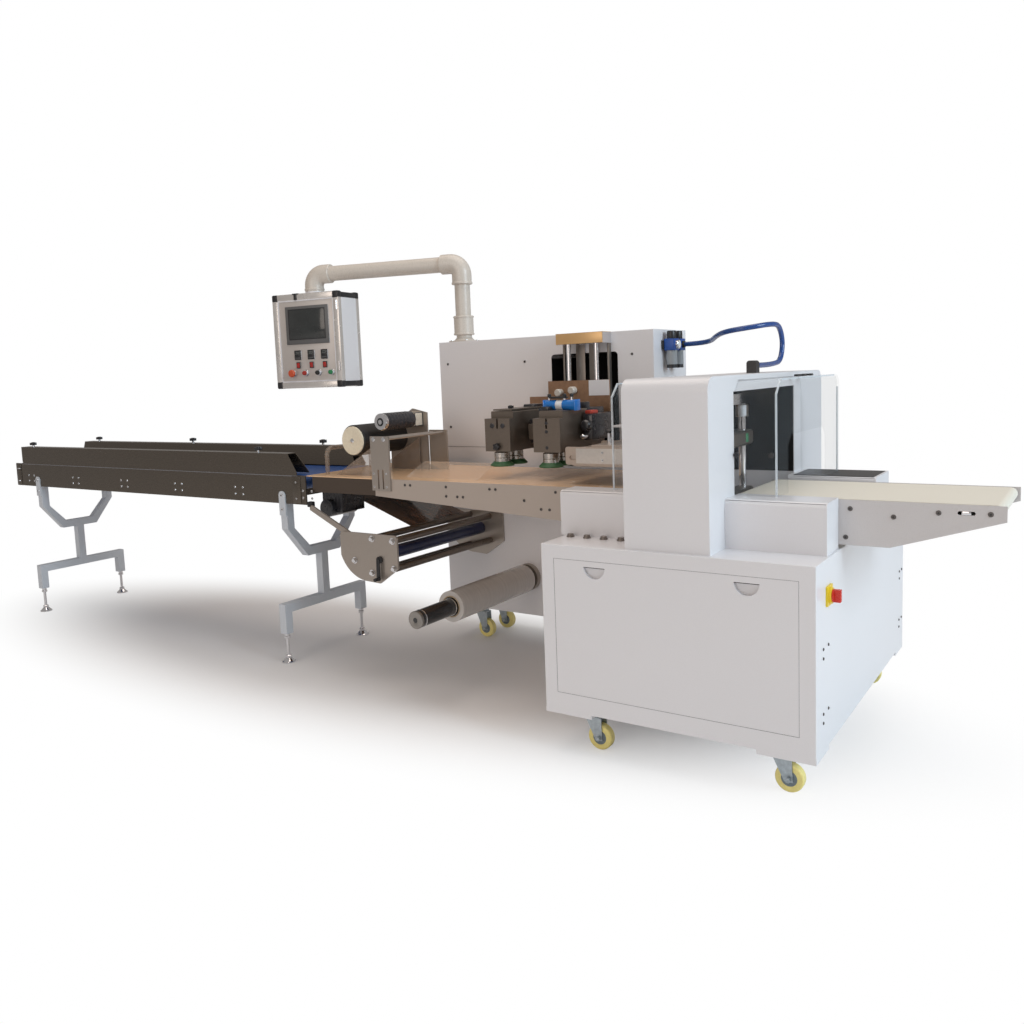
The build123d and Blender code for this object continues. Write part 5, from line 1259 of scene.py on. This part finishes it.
class WRAPPER_OT_former(bpy.types.Operator):
    """Dress the film former: drum disc, motor cap, gearbox, arch bolts and the servo's fins"""
    bl_idname = "wrapper.former"
    bl_label = "Film former"

    def execute(self, context):
        self.drum_front()
        self.drive_covers()
        arch = Shell()
        for x in (0.308, 0.368):
            for y, side in ((-0.394, -1), (0.040, 1)):
                arch.turned((x, y, 1.126), (0, side, 0), cap_profile(0.0115, 0.006, 0.009, 0.008),
                            chrome(), segments=HEXAGON)
        star_knob(arch, (0.338, 0.040, 1.10), REAR, 0.018, black_plastic(), stem=0.008)
        arch.piece("Arch_fittings", "machine")
        return {"FINISHED"}

    @staticmethod
    def drum_front():
        """Puts the cream disc with its rolled rim and its nut on the drum."""
        cream = finish("Drum disc", (0.80, 0.72, 0.56), roughness=0.42, scale=80.0)
        disc = Shell()
        rim = [(0.068, 0), (0.068, 0.0055), (0.0655, 0.0075), (0.030, 0.0075), (0.028, 0.0068),
               (0, 0.0068)]
        disc.turned((DRUM_X, -0.2935, DRUM_Z), FRONT, rim, cream, segments=ROLL_TURNS)
        disc.turned((DRUM_X, -0.3003, DRUM_Z), FRONT, cap_profile(0.012, 0.003, 0.008, 0.006),
                    chrome(), segments=HEXAGON)
        disc.piece("Drum_front", "film_drum")

    @staticmethod
    def drive_covers():
        """Dresses the round motor and the servo under the table."""
        enamel = dark_paint()
        beige = finish("Gearbox enamel", (0.60, 0.52, 0.42), roughness=0.45, scale=120.0,
                       contrast=0.1)
        blue = finish("Servo blue", (0.015, 0.05, 0.16), roughness=0.35, scale=150.0,
                      contrast=0.15)
        drive = Shell()
        motor_cap = [(0.0405, -0.012), (0.0405, 0), (0.036, 0.004), (0.020, 0.004),
                     (0.020, 0.0015), (0.011, 0.0015), (0.011, 0.006), (0, 0.006)]
        drive.turned((MOTOR_X, -0.252, MOTOR_Z), FRONT, motor_cap, chrome(), segments=FINE_TURNS)
        for step in range(7):
            drive.turned((MOTOR_X, -0.225 + step * 0.024, MOTOR_Z), REAR,
                         ring_profile(0.0395, 0.0412, 0, 0.012), enamel, segments=FINE_TURNS)
        drive.block((0.1925, -0.0455, 1.1595), (0.2615, 0.0155, 1.2285), beige, edge=0.006)
        for step in range(6):
            x = -0.100 + step * 0.022
            drive.block((x, -0.3315, 0.772), (x + 0.010, -0.179, 0.862), enamel, edge=0.0015)
        drive.block((-0.1065, -0.332, 0.862), (0.0265, -0.178, 0.877), blue, edge=0.003)
        servo_cap = [(0.0425, -0.02), (0.0425, 0), (0.038, 0.004), (0.012, 0.004), (0.010, 0.007),
                     (0, 0.007)]
        drive.turned((-0.053, -0.360, 0.786), FRONT, servo_cap, enamel, segments=FINE_TURNS)
        drive.piece("Drive_covers", "machine")


class WRAPPER_OT_unwinder(bpy.types.Operator):
    """Add the lever, the roller caps, the shaft's end ring and the roll's cardboard core"""
    bl_idname = "wrapper.unwinder"
    bl_label = "Unwinder fittings"

    def execute(self, context):
        face = UNWINDER_FACE
        black = black_plastic()
        parts = Shell()
        stud = [(0.0102, -0.003), (0.0102, 0), (0.008, 0.002), (0, 0.002)]
        for dx, dz in ((0.198, -0.022), (0.320, -0.025), (0.086, -0.130), (0.190, -0.180),
                       (0.322, -0.150)):
            x, z = 0.108 + dx, 0.700 + dz
            parts.turned((x, face - 0.0118, z), FRONT, stud, chrome())
            parts.turned((x, face, z), FRONT, ring_profile(0.0101, 0.0155, 0, 0.003), chrome())
        parts.turned((0.350, face, 0.585), FRONT, cap_profile(0.016, 0.010, 0.012, 0.013), black)
        lever = [(0.0, -0.009), (0.085, -0.030), (0.094, -0.022), (0.092, -0.010), (0.0, 0.009),
                 (-0.012, 0.0)]
        parts.prism(lever, (0.350, face - 0.012, 0.585), (0.2, 0, -1), (1, 0, 0.2), 0.007, black,
                    edge=0.002)
        parts.rod((0.350, face - 0.010, 0.500), FRONT, 0.008, 0.035, black)
        parts.block((-0.110, -0.4300, 0.800), (-0.080, -0.405, 0.826), black, edge=0.004)
        parts.piece("Unwinder_fittings", "machine")

        steel = finish("Shaft end", (0.30, 0.28, 0.26), metallic=0.85, roughness=0.3, scale=60.0,
                       bump=0.01)
        card = finish("Card core", (0.42, 0.33, 0.22), roughness=0.8, scale=160.0, contrast=0.12,
                      bump=0.2)
        end = Shell()
        shaft_end = [(0.0385, -0.012), (0.0385, -0.001), (0.036, 0.0015), (0.012, 0.0018),
                     (0.010, 0.0006), (0, 0.0006)]
        end.turned((ROLL_X, -0.5735, ROLL_Z), FRONT, shaft_end, steel, segments=LIP_TURNS)
        for y in (-0.545, -0.340):
            end.turned((ROLL_X, y, ROLL_Z), REAR, ring_profile(0.0375, 0.0395, 0, 0.006),
                       chrome(), segments=LIP_TURNS)
        for y, side in ((-0.3275, -1), (0.2625, 1)):
            end.turned((ROLL_X, y, ROLL_Z), (0, side, 0),
                       ring_profile(0.0440, 0.0490, -0.02, 0.002), card, segments=ROLL_TURNS)
        end.piece("Shaft_rings", "film_shaft")
        return {"FINISHED"}


class WRAPPER_OT_press_unit(bpy.types.Operator):
    """Dress the pressing unit: pale cheek plate, screws, spring posts, bracket and belt edge"""
    bl_idname = "wrapper.press_unit"
    bl_label = "Pressing unit"

    def execute(self, context):
        pale = finish("Press cheek", (0.62, 0.58, 0.54), metallic=0.5, roughness=0.4, scale=70.0,
                      contrast=0.05)
        paint = sheet_paint()
        parts = Shell()
        parts.block((1.258, -0.293, 1.0172), (1.680, 0.001, 1.0182), black_rubber(), edge=0)
        parts.block((1.300, CHEEK_FACE, 1.030), (1.680, -0.2995, 1.090), pale, edge=0.0004)
        for x in (1.40, 1.52, 1.64):
            parts.rod((x, -0.20, 1.100), UP, 0.009, 0.045, chrome())
            parts.turned((x, -0.20, 1.145), UP, cap_profile(0.015, 0.010, 0.010, 0.014),
                         black_plastic())
        parts.block((1.451, -0.175, 1.100), (1.463, -0.060, 1.259), paint, edge=0.002)
        parts.block((1.400, -0.175, 1.165), (1.463, -0.060, 1.173), paint, edge=0.002)
        parts.piece("Press_fittings", "machine")
        screws = [((x, CHEEK_FACE, z), FRONT) for x in (1.42, 1.60) for z in (1.044, 1.075)]
        screw_set("Press_screws", screws, "machine", radius=0.005)
        return {"FINISHED"}


class WRAPPER_OT_end_sealer(bpy.types.Operator):
    """Dress the end sealer: the jaws' toothed faces and insulation, caps and column collars"""
    bl_idname = "wrapper.end_sealer"
    bl_label = "End sealer"

    def execute(self, context):
        steel = machined_steel()
        white = finish("Cylinder cap", (0.72, 0.73, 0.75), roughness=0.3, scale=150.0,
                       contrast=0.05)
        green = finish("Jaw insulation", (0.05, 0.22, 0.10), roughness=0.5, scale=100.0,
                       contrast=0.15)
        for name, side in (("upper_jaw", -1), ("lower_jaw", 1)):
            low, high = ends_of(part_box(name))
            jaw = Shell()
            face_z = low.z if side < 0 else high.z
            for step in range(7):
                x = low.x + 0.010 + step * 0.0082
                jaw.block((x, low.y + 0.06, face_z - 0.0005),
                          (x + 0.0045, high.y - 0.06, face_z + 0.0005), steel, edge=0)
            for y in (low.y + 0.055, high.y - 0.085):
                jaw.block((low.x - 0.001, y, low.z + 0.012),
                          (high.x + 0.001, y + 0.03, high.z - 0.012), green, edge=0.002)
            jaw.piece(name.capitalize() + "_fittings", name)
        top = Shell()
        for y in (-0.300, LINE_Y, 0.008):
            top.turned((JAW_X + 0.030, y, 1.240), DOWN, cap_profile(0.016, 0.04, 0.012, 0.045),
                       white)
        for y in (PLATE_FRONT, PLATE_REAR):
            for z, reach, depth in ((1.190, 0.026, 0.050), (0.8185, 0.024, 0.020)):
                top.turned((JAW_X, y, z), UP, ring_profile(0.0150, reach, 0, depth, 0.003), steel)
        top.piece("Crosshead_fittings", "jaw_carriage")
        return {"FINISHED"}


class WRAPPER_OT_guards(bpy.types.Operator):
    """Edge the clear guards, and add their hinges and handle studs"""
    bl_idname = "wrapper.guards"
    bl_label = "Guard edges"

    def execute(self, context):
        edge = finish("Sheet edge", (0.78, 0.85, 0.90), roughness=0.2, scale=60.0, alpha=0.55)
        black = black_plastic()
        parts = Shell()
        front, rear, low, high = -0.430, 0.367, 0.950, 1.345
        bevel, sheet = 0.05, 0.006
        for x in (1.5360, 2.1475):
            for y0, z0, y1, z1 in ((front, low, front, high - bevel),
                                   (front, high - bevel, front + bevel, high),
                                   (front + bevel, high, rear - bevel, high),
                                   (rear, low, rear, high - bevel)):
                run = Vector((0, y1, z1)) - Vector((0, y0, z0))
                along = run.normalized()
                inward = Vector((0, along.z, -along.y))
                strip = [(0, -0.0004), (run.length, -0.0004), (run.length, 0.0052), (0, 0.0052)]
                parts.prism(strip, (x, y0, z0), along, inward, sheet, edge)
        for y in (0.20, 0.30):
            parts.block((2.02, y, 1.343), (2.06, y + 0.035, 1.351), black, edge=0.002)
        for x in (2.010, 2.130):
            parts.rod((x, -0.4305, 1.09), FRONT, 0.009, 0.012, black)
        parts.piece("Guard_edges", "machine")
        return {"FINISHED"}


class WRAPPER_OT_outfeed(bpy.types.Operator):
    """Add the outfeed's tension blocks and the black strip on the rear cover"""
    bl_idname = "wrapper.outfeed"
    bl_label = "Outfeed fittings"

    def execute(self, context):
        parts = Shell()
        parts.block((2.02, 0.190, 0.9500), (2.325, 0.405, 0.9512), black_plastic(), edge=0)
        for y in (PLATE_FRONT + 0.0005, PLATE_REAR - 0.0065):
            parts.block((2.700, y, 0.9125), (2.727, y + 0.006, 0.9235), chrome(), edge=0.001)
        parts.piece("Outfeed_fittings", "machine")
        return {"FINISHED"}


class WRAPPER_OT_air(bpy.types.Operator):
    """Make the blue air hose, its nuts, and the air unit's bowls, knobs and gauge"""
    bl_idname = "wrapper.air"
    bl_label = "Air hose and unit"

    def execute(self, context):
        steps = [(0, 0, 0), (0, 110, 0), (0, 225, 4), (0, 325, 14), (0, 363, 96), (0, 311, 169),
                 (0, 211, 172), (-55, 126, 160), (-165, 116, 148), (-240, 201, 136)]
        x, y, z = HOSE_START
        route = [Vector((x + dx / 1000, y + dy / 1000, z + dz / 1000)) for dx, dy, dz in steps]
        route += [Vector((1.550, 0.505, 1.501)), Vector((1.434, 0.505, 1.501))]
        curve = bpy.data.curves.new("Air hose", "CURVE")
        curve.dimensions = "3D"
        curve.bevel_depth = HOSE_RADIUS
        curve.bevel_resolution = 4
        curve.resolution_u = 10
        curve.use_fill_caps = True
        spline = curve.splines.new("NURBS")
        spline.points.add(len(route) - 1)
        for point, place in zip(spline.points, route):
            point.co = (*place, 1.0)
        spline.order_u = 3
        spline.use_endpoint_u = True
        hose = bpy.data.objects.new("Air_hose", curve)
        curve.materials.append(finish("Hose blue", tuple(context.scene.wrapper_colours.hose),
                                      roughness=0.22, scale=90.0, contrast=0.15, bump=0.04,
                                      coat=0.3))
        context.scene.collection.objects.link(hose)
        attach(hose, "machine")
        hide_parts("air_hose")
        self.air_unit(route)
        return {"FINISHED"}

    @staticmethod
    def air_unit(route):
        """Adds the hose's two nuts, and the housings, bowls, knobs and gauge of the air unit."""
        black = black_plastic()
        blue = finish("Regulator blue", (0.01, 0.07, 0.32), roughness=0.35, scale=150.0,
                      contrast=0.1)
        clear = finish("Bowl", (0.72, 0.78, 0.82), roughness=0.1, scale=20.0, alpha=0.45)
        dial = finish("Gauge face", (0.82, 0.82, 0.80), roughness=0.5, scale=200.0,
                      contrast=0.03)
        parts = Shell()
        for place, axis in ((route[0], Vector(FRONT)), (route[-1], -Vector(ALONG))):
            parts.turned(place + axis * 0.012, -axis,
                         ring_profile(0.0105, 0.0175, -0.004, 0.010, 0.002), black,
                         segments=HEXAGON)
        bowl = [(0.0245, -0.002), (0.0250, 0.010), (0.0250, 0.060), (0.018, 0.076), (0, 0.080)]
        knob = [(0.0205, 0), (0.0215, 0.006), (0.0215, 0.026), (0.019, 0.036), (0, 0.0365)]
        for y in (0.435, 0.505):
            parts.block((1.373, y - 0.031, 1.474), (1.423, y + 0.031, 1.528), blue, edge=0.004)
            parts.turned((1.398, y, 1.473), DOWN, bowl, clear)
            parts.turned((1.398, y, 1.527), UP, knob, black)
        parts.turned((1.4225, 0.435, 1.501), ALONG,
                     [(0, 0), (0.020, 0), (0.020, 0.012), (0.018, 0.014), (0, 0.0135)], chrome())
        parts.turned((1.436, 0.435, 1.501), ALONG,
                     [(0, 0), (0.0165, 0), (0.0165, 0.0006), (0, 0.0006)], dial)
        parts.piece("Air_unit_covers", "machine")


class WRAPPER_PT_panel(bpy.types.Panel):
    """Lists the steps that dress the flow wrapper"""
    bl_idname = "WRAPPER_PT_panel"
    bl_label = "Flow wrapper"
    bl_space_type = "VIEW_3D"
    bl_region_type = "UI"
    bl_category = "Wrapper"

    def draw(self, context):
        layout = self.layout
        scene = context.scene
        for group in (scene.wrapper_stage, scene.wrapper_colours, scene.wrapper_sizes):
            box = layout.box()
            for name in group.bl_rna.properties.keys():
                if name not in ("rna_type", "name"):
                    box.prop(group, name)
        for step in STEPS:
            layout.operator(step.bl_idname)


GROUPS = (WrapperStage, WrapperColours, WrapperSizes)
STEPS = (
    WRAPPER_OT_stage, WRAPPER_OT_air, WRAPPER_OT_finishes, WRAPPER_OT_sheet_screws,
    WRAPPER_OT_cabinet, WRAPPER_OT_casters, WRAPPER_OT_controls, WRAPPER_OT_arm,
    WRAPPER_OT_infeed, WRAPPER_OT_stands, WRAPPER_OT_sealing_unit, WRAPPER_OT_former,
    WRAPPER_OT_unwinder, WRAPPER_OT_press_unit, WRAPPER_OT_end_sealer, WRAPPER_OT_guards,
    WRAPPER_OT_outfeed,
)


def register():
    for item in GROUPS + STEPS + (WRAPPER_PT_panel,):
        bpy.utils.register_class(item)
    bpy.types.Scene.wrapper_stage = PointerProperty(type=WrapperStage)
    bpy.types.Scene.wrapper_colours = PointerProperty(type=WrapperColours)
    bpy.types.Scene.wrapper_sizes = PointerProperty(type=WrapperSizes)


def unregister():
    del bpy.types.Scene.wrapper_sizes
    del bpy.types.Scene.wrapper_colours
    del bpy.types.Scene.wrapper_stage
    for item in reversed(GROUPS + STEPS + (WRAPPER_PT_panel,)):
        bpy.utils.unregister_class(item)


def main():
    register()
    bpy.ops.wrapper.stage()
    bpy.ops.wrapper.air()
    bpy.ops.wrapper.finishes()
    bpy.ops.wrapper.sheet_screws()
    bpy.ops.wrapper.cabinet()
    bpy.ops.wrapper.casters()
    bpy.ops.wrapper.controls()
    bpy.ops.wrapper.arm()
    bpy.ops.wrapper.infeed()
    bpy.ops.wrapper.stands()
    bpy.ops.wrapper.sealing_unit()
    bpy.ops.wrapper.former()
    bpy.ops.wrapper.unwinder()
    bpy.ops.wrapper.press_unit()
    bpy.ops.wrapper.end_sealer()
    bpy.ops.wrapper.guards()
    bpy.ops.wrapper.outfeed()


if __name__ == "__main__":
    main()
